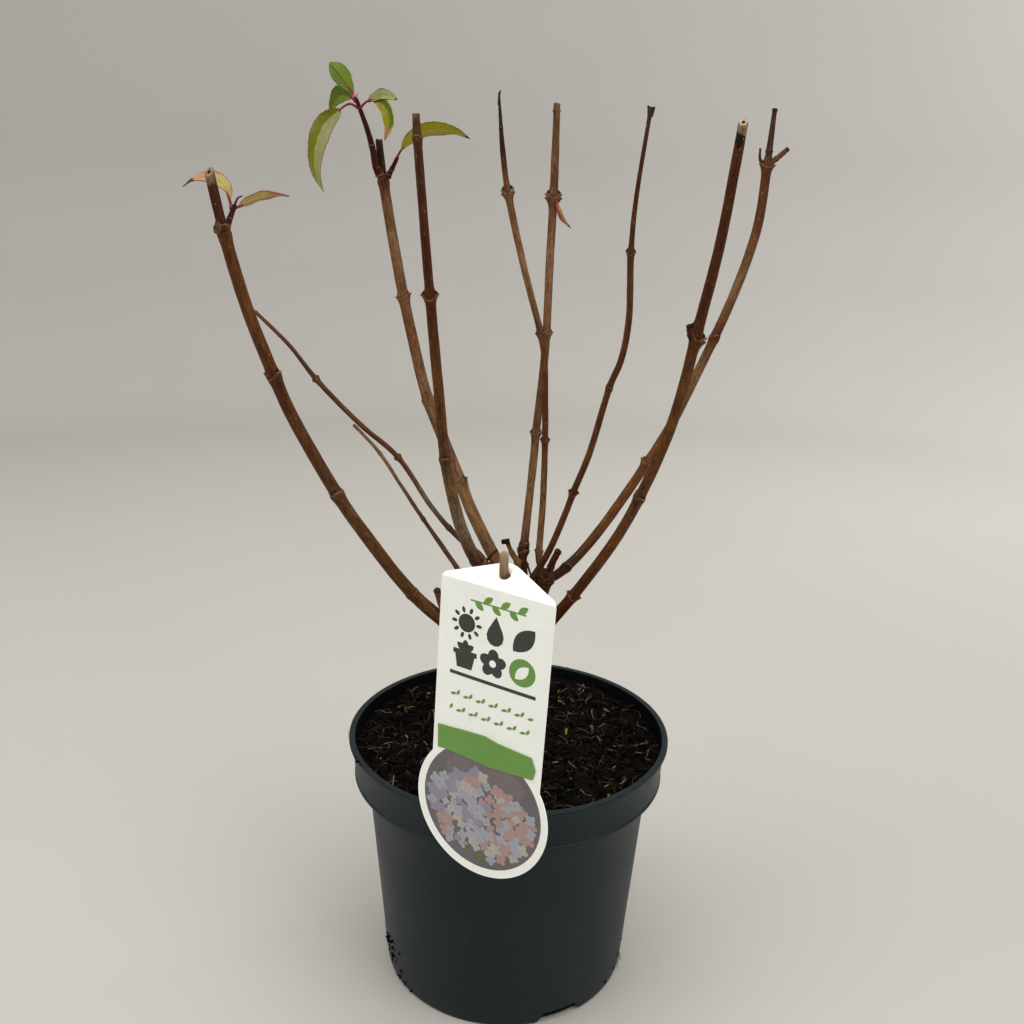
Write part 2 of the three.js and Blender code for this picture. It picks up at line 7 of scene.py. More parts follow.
import bisect
import logging
import math
import random
from dataclasses import dataclass, field
from enum import Enum
from typing import Callable, Sequence

import bmesh
import bpy
import numpy as np
from mathutils import Matrix, Vector, noise


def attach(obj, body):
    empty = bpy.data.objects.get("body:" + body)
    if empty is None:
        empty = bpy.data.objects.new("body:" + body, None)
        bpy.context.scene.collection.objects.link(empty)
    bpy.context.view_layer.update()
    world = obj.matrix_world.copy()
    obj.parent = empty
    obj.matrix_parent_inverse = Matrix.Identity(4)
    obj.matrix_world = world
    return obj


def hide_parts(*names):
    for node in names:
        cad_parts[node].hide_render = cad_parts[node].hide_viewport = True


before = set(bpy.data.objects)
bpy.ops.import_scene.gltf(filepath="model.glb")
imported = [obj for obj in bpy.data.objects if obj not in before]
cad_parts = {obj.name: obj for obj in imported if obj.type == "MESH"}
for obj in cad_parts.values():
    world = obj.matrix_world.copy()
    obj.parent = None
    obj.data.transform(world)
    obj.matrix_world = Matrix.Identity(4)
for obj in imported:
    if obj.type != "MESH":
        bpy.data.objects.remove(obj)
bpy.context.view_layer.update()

Point = tuple[float, float, float]
Flat = tuple[float, float]
Colour = tuple[float, float, float, float]
Mesh = bmesh.types.BMesh
Corner = bmesh.types.BMVert
Piece = bpy.types.Object
Material = bpy.types.Material

log = logging.getLogger("shrub")
shelf: dict[str, Material] = {}

METRES = 0.001
BODY = "root"
SOIL_LEVEL = 168.0
FULL_TURN = 2 * math.pi
SHEEN = 0.0045
RETURNED = 0.85
STREWN_CREASE = 60.0


def tint(red: int, green: int, blue: int) -> Colour:
    """Turns a screen colour into the linear colour that a shader takes.

    Args:
        red, green, blue: the colour as it shows on a screen, each from 0 to 255.

    Returns:
        The linear colour, opaque.
    """
    return (*((channel / 255) ** 2.2 for channel in (red, green, blue)), 1.0)


def seen(red: int, green: int, blue: int) -> Colour:
    """Turns a colour as it shows under the studio's light into the surface's own colour.

    Args:
        red, green, blue: the colour as it shows, each from 0 to 255.

    Returns:
        The linear colour, opaque, without the light's sheen and with its loss made up for.
    """
    shown = tint(red, green, blue)[:3]
    return (*(max(0.0, (channel - SHEEN) / RETURNED) for channel in shown), 1.0)


def blended(first: Colour, second: Colour, share: float) -> Colour:
    """Returns the colour that lies a share of the way from the first to the second."""
    return tuple(a + (b - a) * share for a, b in zip(first, second))


def bell(value: float, width: float) -> float:
    """Returns a smooth hump, 1 at zero and nearly nothing past twice its width."""
    return math.exp(-((value / width) ** 2))


# Shader writing.


class Wire:
    """An output socket of a shader node that takes part in plain sums."""

    def __init__(self, bench: "Bench", socket: bpy.types.NodeSocket) -> None:
        """Keeps the socket and the bench that its nodes are made on."""
        self.bench = bench
        self.socket = socket

    def _sum(self, operation: str, first: "Wire | float", second: "Wire | float") -> "Wire":
        """Returns a Math node's result for two values."""
        return self.bench.node("ShaderNodeMath", {"operation": operation}, {0: first, 1: second})

    def __add__(self, other: "Wire | float") -> "Wire":
        """Returns self + other."""
        return self._sum("ADD", self, other)

    __radd__ = __add__

    def __sub__(self, other: "Wire | float") -> "Wire":
        """Returns self - other."""
        return self._sum("SUBTRACT", self, other)

    def __rsub__(self, other: "Wire | float") -> "Wire":
        """Returns other - self."""
        return self._sum("SUBTRACT", other, self)

    def __mul__(self, other: "Wire | float") -> "Wire":
        """Returns self * other."""
        return self._sum("MULTIPLY", self, other)

    __rmul__ = __mul__

    def __pow__(self, other: "Wire | float") -> "Wire":
        """Returns self ** other."""
        return self._sum("POWER", self, other)


class Bench:
    """A material being written: its node tree, with one Principled shader."""

    MIX_FACTOR, MIX_FIRST, MIX_SECOND, MIX_RESULT = 0, 6, 7, 2

    def __init__(self, name: str) -> None:
        """Starts an empty material.

        Args:
            name: its name.
        """
        self.material = bpy.data.materials.new(name)
        self.material.use_nodes = True
        self.tree = self.material.node_tree
        self.tree.nodes.clear()
        self.shader = self.tree.nodes.new("ShaderNodeBsdfPrincipled")
        output = self.tree.nodes.new("ShaderNodeOutputMaterial")
        self.tree.links.new(self.shader.outputs[0], output.inputs["Surface"])

    def node(self, kind: str, settings: dict | None = None, inputs: dict | None = None,
             output: int | str = 0) -> Wire:
        """Adds one node.

        Args:
            kind: the node's type.
            settings: its properties, and the stops of a colour ramp.
            inputs: a value or a wire for each of its sockets, by name or place.
            output: the output socket to return.

        Returns:
            The output as a wire.
        """
        made = self.tree.nodes.new(kind)
        for name, value in (settings or {}).items():
            if name == "stops":
                self._set_stops(made.color_ramp, value)
            else:
                setattr(made, name, value)
        for name, value in (inputs or {}).items():
            if isinstance(value, Wire):
                self.tree.links.new(value.socket, made.inputs[name])
            else:
                made.inputs[name].default_value = value
        return Wire(self, made.outputs[output])

    @staticmethod
    def _set_stops(ramp: bpy.types.ColorRamp, stops: Sequence[tuple[float, Colour]]) -> None:
        """Gives a colour ramp exactly these stops.

        Args:
            ramp: the colour ramp.
            stops: the position and colour of each stop.
        """
        while len(ramp.elements) < len(stops):
            ramp.elements.new(1.0)
        for element, (position, colour) in zip(ramp.elements, stops):
            element.position = position
            element.color = colour

    def place(self) -> Wire:
        """Returns the Object coordinates."""
        return self.node("ShaderNodeTexCoord", output="Object")

    def attribute(self, name: str, output: str) -> Wire:
        """Returns an attribute of the mesh."""
        return self.node("ShaderNodeAttribute", {"attribute_name": name}, output=output)

    def stretched(self, vector: Wire, factors: Point) -> Wire:
        """Returns a vector multiplied axis by axis."""
        return self.node("ShaderNodeVectorMath", {"operation": "MULTIPLY"}, {0: vector, 1: factors})

    def noise(self, vector: Wire, scale: float, detail: float = 3.0, roughness: float = 0.5) -> Wire:
        """Returns a noise texture's value."""
        inputs = {"Vector": vector, "Scale": scale, "Detail": detail, "Roughness": roughness}
        return self.node("ShaderNodeTexNoise", None, inputs)

    def cells(self, vector: Wire, scale: float) -> Wire:
        """Returns the distance to the nearest of many scattered points."""
        return self.node("ShaderNodeTexVoronoi", None, {"Vector": vector, "Scale": scale})

    def ramp(self, factor: Wire, stops: Sequence[tuple[float, Colour]]) -> Wire:
        """Returns a colour ramp's colour for a value."""
        return self.node("ShaderNodeValToRGB", {"stops": stops}, {0: factor})

    def window(self, value: Wire, low: float, high: float) -> Wire:
        """Returns 0 up to low, 1 from high, and a straight rise between them."""
        inputs = {0: value, 1: low, 2: high}
        return self.node("ShaderNodeMapRange", {"clamp": True}, inputs)

    def mix(self, factor: Wire | float, first: Wire | Colour, second: Wire | Colour,
            blend: str = "MIX") -> Wire:
        """Returns two colours mixed by a factor."""
        inputs = {self.MIX_FACTOR: factor, self.MIX_FIRST: first, self.MIX_SECOND: second}
        settings = {"data_type": "RGBA", "blend_type": blend}
        return self.node("ShaderNodeMix", settings, inputs, self.MIX_RESULT)

    def shaded(self, colour: Wire | Colour, value: Wire) -> Wire:
        """Returns a colour darkened or lightened by a value."""
        grey = self.node("ShaderNodeCombineColor", None, {0: value, 1: value, 2: value})
        return self.mix(1.0, colour, grey, "MULTIPLY")

    def finish(self, sockets: dict, height: Wire | None = None, depth: float = 0.2) -> Material:
        """Sets the shader's sockets.

        Args:
            sockets: a value or a wire for each socket of the shader, by name.
            height: what the surface's bump follows, if it has one.
            depth: the bump's depth in millimetres.

        Returns:
            The material.
        """
        for name, value in sockets.items():
            if isinstance(value, Wire):
                self.tree.links.new(value.socket, self.shader.inputs[name])
            else:
                self.shader.inputs[name].default_value = value
        if height is not None:
            bump = self.node("ShaderNodeBump", None, {"Distance": depth * METRES, "Height": height})
            self.tree.links.new(bump.socket, self.shader.inputs["Normal"])
        return self.material


# Finishes.


@dataclass(frozen=True)
class Bark:
    """Skin of stems and canes: fine lengthwise streaks, pale flecks and a soft sheen.

    It reads two attributes of the mesh: limb, the place on the limb as if it were straight,
    in millimetres, and bark, the colour there, which holds the painted shade of the joints and knots.
    """

    name: str
    streak_width: float = 0.8
    streak_length: float = 16.0
    contrast: float = 1.0
    fleck: Colour = seen(150, 118, 84)
    fleck_share: float = 0.6
    roughness: float = 0.55
    relief: float = 0.3
    gloss: float = 0.15

    DARKEST = (0.5, 0.4, 0.36, 1.0)
    PLAIN = (1.0, 1.0, 1.0, 1.0)
    PALEST = (1.5, 1.38, 1.12, 1.0)

    def material(self) -> Material:
        """Writes the bark's shader.

        Returns:
            The material.
        """
        bench = Bench(self.name)
        limb = bench.attribute("limb", "Vector")
        grain = (1 / self.streak_width, 1 / self.streak_width, 1 / self.streak_length)
        streaks = bench.noise(bench.stretched(limb, grain), 1.0, 4.0, 0.6)
        patches = bench.noise(bench.stretched(limb, (0.32, 0.32, 0.1)), 1.0, 3.0, 0.6)
        mottle = bench.noise(bench.stretched(limb, (0.9, 0.9, 0.22)), 1.0, 4.0, 0.65)
        spots = bench.cells(bench.stretched(limb, (0.42, 0.42, 0.26)), 1.0)
        pits = bench.cells(bench.stretched(limb, (0.55, 0.55, 0.33)), 1.0)
        flecks = 1 - bench.window(spots, 0.1, 0.19)
        specks = 1 - bench.window(pits, 0.12, 0.22)
        value = 0.5 + (streaks - 0.5) * (0.9 * self.contrast) + (patches - 0.5) * (1.2 * self.contrast)
        value = value + (mottle - 0.5) * (1.4 * self.contrast)
        range_of_tones = bench.ramp(value, [(0.2, self.DARKEST), (0.5, self.PLAIN), (0.8, self.PALEST)])
        colour = bench.mix(1.0, bench.attribute("bark", "Color"), range_of_tones, "MULTIPLY")
        colour = bench.shaded(colour, 1 - specks * bench.window(mottle, 0.35, 0.55) * 0.55)
        colour = bench.mix(flecks * self.fleck_share * bench.window(patches, 0.42, 0.56), colour, self.fleck)
        roughness = self.roughness + (mottle - 0.5) * 0.4 + flecks * 0.15
        height = streaks * 0.6 + mottle * 0.6 + flecks * 0.5 - specks * 0.4
        sockets = {"Base Color": colour, "Roughness": roughness, "Specular IOR Level": self.gloss}
        return bench.finish(sockets, height, self.relief)


@dataclass(frozen=True)
class PotPlastic:
    """Moulded nursery-pot plastic: dark blue-green, with dust, scuffs and a low gloss."""

    name: str = "pot_plastic"
    colour: Colour = tint(20, 32, 36)
    moss: Colour = tint(28, 38, 32)
    dust: Colour = tint(78, 84, 80)
    roughness: float = 0.42
    gloss: float = 0.2

    def material(self) -> Material:
        """Writes the plastic's shader.

        Returns:
            The material.
        """
        bench = Bench(self.name)
        place = bench.place()
        cloudy = bench.noise(place, 9.0, 4.0, 0.6)
        specks = 1 - bench.window(bench.cells(place, 260.0), 0.09, 0.14)
        sparse = bench.window(bench.noise(place, 45.0, 2.0), 0.56, 0.66)
        scuffs = bench.noise(bench.stretched(place, (30.0, 30.0, 400.0)), 1.0, 4.0, 0.7)
        moulding = bench.noise(place, 900.0, 2.0)
        haze = bench.window(cloudy, 0.4, 0.75) * 0.08 + bench.window(scuffs, 0.62, 0.75) * 0.1
        height_up = bench.node("ShaderNodeSeparateXYZ", None, {0: place}, 2)
        low = 1 - bench.window(height_up, 0.0, 0.05)
        plastic = bench.mix(low * bench.window(cloudy, 0.4, 0.7) * 0.6, self.colour, self.moss)
        colour = bench.mix(haze + specks * sparse * 0.5, plastic, self.dust)
        roughness = self.roughness + (cloudy - 0.5) * 0.2 + haze * 0.8 + specks * sparse * 0.3
        height = moulding * 0.5 + specks * sparse + scuffs * 0.2
        sockets = {"Base Color": colour, "Roughness": roughness, "Specular IOR Level": self.gloss}
        return bench.finish(sockets, height, 0.08)


@dataclass(frozen=True)
class Earth:
    """Compost or a crumb of it: one dark tone with a rough, crumbly skin."""

    name: str
    colour: Colour
    roughness: float = 0.95
    grain: float = 420.0
    relief: float = 0.9

    def material(self) -> Material:
        """Writes the earth's shader.

        Returns:
            The material.
        """
        bench = Bench(self.name)
        place = bench.place()
        coarse = bench.noise(place, self.grain, 5.0, 0.65)
        damp = bench.noise(place, self.grain / 6, 2.0)
        colour = bench.shaded(self.colour, 0.35 + coarse * 1.3)
        roughness = self.roughness - bench.window(damp, 0.5, 0.75) * 0.3
        sockets = {"Base Color": colour, "Roughness": roughness, "Specular IOR Level": 0.1}
        return bench.finish(sockets, coarse, self.relief)


@dataclass(frozen=True)
class LeafSkin:
    """One tone of a leaf, stalk or young shoot, with a soft waxy sheen and fine pores."""

    name: str
    colour: Colour
    roughness: float = 0.45
    glow: float = 0.12
    gloss: float = 0.2

    def material(self) -> Material:
        """Writes the leaf tone's shader.

        Returns:
            The material.
        """
        bench = Bench(self.name)
        place = bench.place()
        mottle = bench.noise(place, 320.0, 3.0, 0.6)
        pores = bench.noise(place, 1800.0, 2.0)
        colour = bench.shaded(self.colour, 0.8 + mottle * 0.4)
        roughness = self.roughness + (mottle - 0.5) * 0.25
        sockets = {"Base Color": colour, "Roughness": roughness, "Subsurface Weight": self.glow,
                   "Subsurface Scale": 0.001, "Specular IOR Level": self.gloss}
        return bench.finish(sockets, mottle * 0.6 + pores * 0.4, 0.12)


@dataclass(frozen=True)
class Card:
    """Coated card or a print on it: satin, with a faint fibre grain."""

    name: str
    colour: Colour
    roughness: float = 0.3
    mottle: float = 0.06

    def material(self) -> Material:
        """Writes the card's shader.

        Returns:
            The material.
        """
        bench = Bench(self.name)
        place = bench.place()
        clouds = bench.noise(place, 60.0, 4.0, 0.6)
        fibre = bench.noise(place, 1500.0, 2.0)
        colour = bench.shaded(self.colour, (1 - self.mottle) + clouds * (2 * self.mottle))
        roughness = self.roughness + (clouds - 0.5) * 0.15
        sockets = {"Base Color": colour, "Roughness": roughness, "Coat Weight": 0.25, "Coat Roughness": 0.25}
        return bench.finish(sockets, fibre, 0.02)


@dataclass(frozen=True)
class StudioPaint:
    """Plain pale studio floor."""

    name: str = "studio_paint"
    colour: Colour = tint(180, 177, 170)
    wall: Colour = tint(166, 163, 158)

    def material(self) -> Material:
        """Writes the paint's shader.

        Returns:
            The material.
        """
        bench = Bench(self.name)
        place = bench.place()
        clouds = bench.noise(place, 2.5, 2.0, 0.6)
        up = bench.window(bench.node("ShaderNodeSeparateXYZ", None, {0: place}, 2), 0.0, 0.35)
        colour = bench.shaded(bench.mix(up, self.colour, self.wall), 0.97 + clouds * 0.06)
        return bench.finish({"Base Color": colour, "Roughness": 0.55})


CANE_BARK = Bark("cane_bark")
OLD_BARK = Bark("old_bark", streak_width=1.6, streak_length=9.0, contrast=1.15, roughness=0.85, relief=0.8,
                fleck_share=0.3)
PEG_WOOD = Bark("peg_wood", streak_width=0.55, streak_length=26.0, contrast=0.7, roughness=0.85, relief=0.4,
                fleck=seen(126, 104, 80), fleck_share=0.2)


# Shared ways of making shapes.


def hand_over(piece: Piece, node: str | None = None) -> None:
    """Fastens a finished piece to the part.

    Args:
        piece: the finished piece.
        node: the CAD node that it stands for, if any.
    """
    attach(piece, BODY)
    if node:
        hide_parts(node)
    log.info("%s: %d faces", piece.name, len(piece.data.polygons))


def set_down(mesh: Mesh, name: str, finishes: Sequence[str] = (), lift: float = SOIL_LEVEL,
             crease: float = 50.0) -> Piece:
    """Turns a finished bmesh of closed shells into an object in metres.

    Args:
        mesh: the shape, which is used up.
        name: the piece's name.
        finishes: the names of its finishes, in the order of the faces' numbers.
        lift: how far up the shape moves, in millimetres.
        crease: the angle in degrees past which an edge stays sharp.

    Returns:
        The object, at the origin, unturned and unscaled.
    """
    bmesh.ops.recalc_face_normals(mesh, faces=mesh.faces)
    bmesh.ops.translate(mesh, vec=(0, 0, lift), verts=mesh.verts)
    bmesh.ops.scale(mesh, vec=(METRES, METRES, METRES), verts=mesh.verts)
    data = bpy.data.meshes.new(name)
    mesh.to_mesh(data)
    mesh.free()
    return placed(data, name, finishes, crease)


def placed(data: bpy.types.Mesh, name: str, finishes: Sequence[str], crease: float) -> Piece:
    """Puts a mesh into the scene as a finished object.

    Args:
        data: the mesh, in metres.
        name: the object's name.
        finishes: the names of its finishes.
        crease: the angle in degrees past which an edge stays sharp.

    Returns:
        The object.
    """
    dressed(data, finishes, crease)
    piece = bpy.data.objects.new(name, data)
    bpy.context.scene.collection.objects.link(piece)
    return piece


def dressed(data: bpy.types.Mesh, finishes: Sequence[str], crease: float) -> None:
    """Gives a mesh its finishes and smooth shading.

    Args:
        data: the mesh.
        finishes: the names of its finishes, in the order of the faces' numbers.
        crease: the angle in degrees past which an edge stays sharp.
    """
    for finish in finishes:
        data.materials.append(shelf[finish])
    data.shade_smooth()
    data.set_sharp_from_angle(angle=math.radians(crease))


def turned(profile: Sequence[Flat], steps: int) -> Mesh:
    """Spins a profile once round the upright axis.

    Args:
        profile: radius and height of each corner, starting and ending on the axis.
        steps: how many sides the round has.

    Returns:
        The closed shape.
    """
    mesh = bmesh.new()
    corners = [mesh.verts.new((radius, 0, height)) for radius, height in profile]
    lines = [mesh.edges.new(pair) for pair in zip(corners, corners[1:])]
    bmesh.ops.spin(mesh, geom=corners + lines, axis=(0, 0, 1), cent=(0, 0, 0), angle=FULL_TURN,
                   steps=steps, use_merge=True)
    bmesh.ops.remove_doubles(mesh, verts=mesh.verts, dist=0.001)
    return mesh


def carved(body: Piece, cutters: Sequence[Piece]) -> None:
    """Cuts shapes out of a body for good and removes them.

    Args:
        body: what is cut.
        cutters: the shapes to cut away.
    """
    for cutter in cutters:
        modifier = body.modifiers.new("cut", "BOOLEAN")
        modifier.operation = "DIFFERENCE"
        modifier.solver = "EXACT"
        modifier.object = cutter
    bpy.context.view_layer.update()
    finished = body.evaluated_get(bpy.context.evaluated_depsgraph_get())
    body.data = bpy.data.meshes.new_from_object(finished)
    body.data.materials.clear()
    body.modifiers.clear()
    for cutter in cutters:
        bpy.data.objects.remove(cutter)


def rolled(mesh: Mesh, sides: int, rows: int, shape: Callable[[Corner, float, int], None]) -> None:
    """Rolls a grid up into a tube with closed ends.

    Args:
        mesh: the mesh that gains the tube.
        sides: how many sides the tube has.
        rows: how many steps it has along its length.
        shape: sets a vertex down, given its angle round the tube and its row.
    """
    corners = bmesh.ops.create_grid(mesh, x_segments=sides, y_segments=rows, size=0.5)["verts"]
    for corner in corners:
        angle = (corner.co.x + 0.5) * FULL_TURN
        shape(corner, angle, round((corner.co.y + 0.5) * rows))
    bmesh.ops.remove_doubles(mesh, verts=corners, dist=0.0005)
    kept = [corner for corner in corners if corner.is_valid]
    open_edges = {edge for corner in kept for edge in corner.link_edges if edge.is_boundary}
    bmesh.ops.holes_fill(mesh, edges=list(open_edges), sides=0)


class Course:
    """A smooth line through points, measured along its length.

    It is the source's own rule: a centripetal spline, so the pieces lie where the solids do.
    """

    STEPS_PER_POINT = 40
    NUDGE = 0.0001

    def __init__(self, points: Sequence[Point]) -> None:
        """Measures the line.

        Args:
            points: the points that it goes through.
        """
        self.points = [Vector(point) for point in points]
        self.steps = self.STEPS_PER_POINT * len(points)
        self.reach = [0.0]
        before = self._spot(0.0)
        for step in range(1, self.steps + 1):
            here = self._spot(step / self.steps)
            self.reach.append(self.reach[-1] + (here - before).length)
            before = here
        self.length = self.reach[-1]

    def _spot(self, share: float) -> Vector:
        """Finds a point of the line.

        Args:
            share: how far the point is through the line's parameter, from 0 to 1.

        Returns:
            The point.
        """
        points = self.points
        spans = len(points) - 1
        span = min(int(share * spans), spans - 1)
        weight = share * spans - span
        first, second = points[span], points[span + 1]
        before = points[span - 1] if span > 0 else 2 * points[0] - points[1]
        after = points[span + 2] if span + 2 <= spans else 2 * points[-1] - points[-2]
        gap_0 = math.sqrt((first - before).length)
        gap_1 = math.sqrt((second - first).length)
        gap_2 = math.sqrt((after - second).length)
        leave = (first - before) / gap_0 - (second - before) / (gap_0 + gap_1) + (second - first) / gap_1
        reach = (second - first) / gap_1 - (after - first) / (gap_1 + gap_2) + (after - second) / gap_2
        leave, reach = leave * gap_1, reach * gap_1
        square = -3 * first + 3 * second - 2 * leave - reach
        cube = 2 * first - 2 * second + leave + reach
        return first + weight * (leave + weight * (square + weight * cube))

    def _share(self, distance: float) -> float:
        """Turns a distance along the line into its parameter.

        Args:
            distance: the distance from the line's start.

        Returns:
            The parameter, from 0 to 1.
        """
        distance = min(max(distance, 0.0), self.length)
        index = min(max(bisect.bisect_right(self.reach, distance) - 1, 0), self.steps - 1)
        low, high = self.reach[index], self.reach[index + 1]
        return (index + (distance - low) / max(high - low, 1e-9)) / self.steps

    def point(self, distance: float) -> Vector:
        """Returns the point at a distance along the line."""
        return self._spot(self._share(distance))

    def heading(self, distance: float) -> Vector:
        """Returns the direction of the line at a distance along it."""
        share = self._share(distance)
        low, high = max(0.0, share - self.NUDGE), min(1.0, share + self.NUDGE)
        return (self._spot(high) - self._spot(low)).normalized()

    def at_point(self, index: float) -> float:
        """Returns the distance along the line of its point with that number."""
        return self.reach[round(index / (len(self.points) - 1) * self.steps)]

    def frames(self, stations: Sequence[tuple], across: Vector) -> list[tuple[Vector, ...]]:
        """Carries a square frame along the line without twisting it.

        Args:
            stations: for each frame its distance and its rise past that, and what else it has.
            across: roughly where the first frame's side looks.

        Returns:
            For each frame its middle, its side, the direction square to both, and the line's own.
        """
        found = []
        for distance, rise, *_ in stations:
            along = self.heading(distance)
            across = square_to(across, along)
            found.append((self.point(distance) + along * rise, across, across.cross(along), along))
        return found


def square_to(direction: Vector, along: Vector) -> Vector:
    """Returns a direction made square to a line, with length 1."""
    return (direction - along * direction.dot(along)).normalized()


# The woody limbs.


class Top(Enum):
    """How a limb ends."""

    CUT = "sawn off"
    DOME = "rounded"
    TORN = "dead and ragged"


@dataclass
class Joint:
    """A place where a pair of leaves once stood.

    Attributes:
        at: the number of the path's point where it is.
        facing: how far the pair is turned from left and right towards the viewer, in degrees.
        size: how large its swelling and scars are, against the usual.
        rings: how many fine rings the swelling has.
        tilt: how much higher its ring runs on the pair's first side, against the radius.
    """

    at: float
    facing: float
    size: float = 1.0
    rings: int = 1
    tilt: float = 0.0


@dataclass
class Snag:
    """A dead stub or a fine dead twig fused to a limb.

    Attributes:
        path: its middle line, from the foot to the tip.
        radius: its radius at the foot and at the tip.
        colour: its colour, which darkens at the tip.
        rings: the distances from its foot at which it has a ringed swelling.
        flare: how much wider it grows at its very tip.
    """

    path: Sequence[Point]
    radius: Flat
    colour: Colour = seen(50, 34, 26)
    rings: Sequence[float] = ()
    flare: float = 0.12


@dataclass
class Knot:
    """A gnarled, ringed knob on a limb, where shoots were cut back again and again.

    Attributes:
        at: the number of the path's point where it is.
        facing: the direction in which it looks.
        reach: how far its middle is from the limb's own middle line.
        radius: its radius.
        colour: its colour between its rings, whose grooves are darkened with painted shade.
    """

    at: float
    facing: Point
    reach: float
    radius: float
    colour: Colour


@dataclass
class Limb:
    """A stem, arm or cane: a tapering rod with bark, swollen joints, leaf scars and buds.

    Attributes:
        name: the CAD node that it stands for.
        path: its middle line, from the foot to the tip.
        radius: its radius at the foot and at the tip.
        tones: its bark's colours, each at the path's point with that number.
        joints, snags, knots: what stands on it.
        waist: its radius at the path's points with those numbers.
        cap: the colour of its cut end.
        top: how it ends.
        slant: how steeply its end is cut, against the radius.
        sides: how many sides its rod has.
        flare: whether its foot widens into roots.
        finish, slot: its finish; slot is not used.
        relief: how rough its skin is, in millimetres.
        course, marks, radii, tone_marks: worked out when it is built.
    """

    name: str
    path: Sequence[Point]
    radius: Flat
    tones: Sequence[tuple[float, Colour]]
    joints: Sequence[Joint] = ()
    snags: Sequence[Snag] = ()
    knots: Sequence[Knot] = ()
    waist: Sequence[Flat] = ()
    cap: Colour = seen(112, 92, 70)
    top: Top = Top.CUT
    slant: float = 0.0
    sides: int = 26
    flare: bool = False
    finish: Bark = CANE_BARK
    slot: str = "cane_bark"
    relief: float = 0.16
    course: Course = field(init=False)
    marks: list[float] = field(init=False)
    radii: list[float] = field(init=False)
    tone_marks: list[tuple[float, Colour]] = field(init=False)

    COARSE_STEP = 2.0
    FINE_STEP = 0.34
    FINE_REACH = 1.15
    TIP_STEP = 0.6
    TIP_REACH = 18.0
    FLARE_EXTRA = 4.4
    FLARE_HEIGHT = 20.0
    FLARE_LOBES = 5
    FLARE_LOBE_DEPTH = 0.1
    SWELL = 0.13
    RIDGE = 0.13
    WING = 0.6
    LEDGE_TILT = 0.38
    RAGGED = 2.6
    SLANT_REACH = 2.5
    JOINT_REACH = 3
    SCAR_AND_SHADE_REACH = 1.5
    RING_GAP = 0.62
    TORN_DEPTH = 0.9
    BUD_REACH = (0.32, 0.5)
    BUD_RISE = 0.66
    SCAR = seen(124, 92, 64)
    # The colour of the buds, also used for painted shade at the joints and in the knots' grooves.
    BUD_AND_SHADE = seen(34, 20, 14)
    PITH = seen(24, 16, 12)
    DOME_STEPS = ((0.5, 0.87), (0.8, 0.6), (0.95, 0.3), (1.0, 0.05))

    def build(self) -> None:
        """Makes the limb's piece in place of its node."""
        self.course = Course(self.path)
        stops = [(0, self.radius[0]), *self.waist, (len(self.path) - 1, self.radius[1])]
        self.marks = [self.course.at_point(index) for index, _ in stops]
        self.radii = [radius for _, radius in stops]
        self.tone_marks = [(self.course.at_point(index), tone) for index, tone in self.tones]
        mesh = bmesh.new()
        mesh.verts.layers.float_vector.new("limb")
        mesh.verts.layers.float_color.new("bark")
        self._rod(mesh)
        for index, snag in enumerate(self.snags):
            self._snag(mesh, snag, index)
        for joint in self.joints:
            self._buds(mesh, joint)
        for knot in self.knots:
            self._knot(mesh, knot)
        piece = set_down(mesh, f"{self.name}_bark", [self.finish.name])
        hand_over(piece, self.name)

    def radius_at(self, distance: float) -> float:
        """Returns the limb's plain radius at a distance from its foot."""
        return float(np.interp(distance, self.marks, self.radii))

    def tone_at(self, distance: float) -> Colour:
        """Finds the bark's plain colour.

        Args:
            distance: the distance from the limb's foot.

        Returns:
            The colour there.
        """
        stops = self.tone_marks
        if distance <= stops[0][0]:
            return stops[0][1]
        for (low, first), (high, second) in zip(stops, stops[1:]):
            if distance <= high:
                return blended(first, second, (distance - low) / max(high - low, 1e-6))
        return stops[-1][1]

    def _stations(self) -> list[float]:
        """Spaces the rod's rings, closer together at joints and at the tip.

        Returns:
            The distance of each ring from the foot.
        """
        middles = [(self.course.at_point(joint.at), joint.size + 0.5 * (joint.rings - 1))
                   for joint in self.joints]
        distance, found = 0.0, []
        while distance < self.course.length - self.FINE_STEP:
            found.append(distance)
            reach = self.FINE_REACH * self.radius_at(distance)
            step = self.COARSE_STEP
            if self.flare and distance < self.FLARE_HEIGHT:
                step = 1.0
            if any(abs(distance - middle) < 2.6 * reach for middle, _ in middles):
                step = 1.0
            if self.course.length - distance < self.TIP_REACH:
                step = self.TIP_STEP
            if any(abs(distance - middle) < reach * size for middle, size in middles):
                step = self.FINE_STEP
            distance += step
        found.append(self.course.length)
        return found

    def _beside(self, joint: Joint, distance: float, outward: Vector, along: Vector) -> Flat:
        """Returns how far past a joint's ring a point of the skin is, and how squarely it faces the pair.

        Args:
            joint: the joint.
            distance: the point's distance from the limb's foot.
            outward: the direction from the middle line to the point.
            along: the limb's direction there.

        Returns:
            The distance past the ring against the joint's radius, and 1 under a leaf's place
            down to -1 halfway between the two.
        """
        middle = self.course.at_point(joint.at)
        step = (distance - middle) / (self.radius_at(middle) * joint.size)
        if abs(step) > self.JOINT_REACH:
            return step, 0.0
        toward = outward.dot(square_to(self._facing(joint), along))
        opposite = 2 * toward ** 2 - 1
        return step - self.LEDGE_TILT * opposite - joint.tilt * toward, opposite

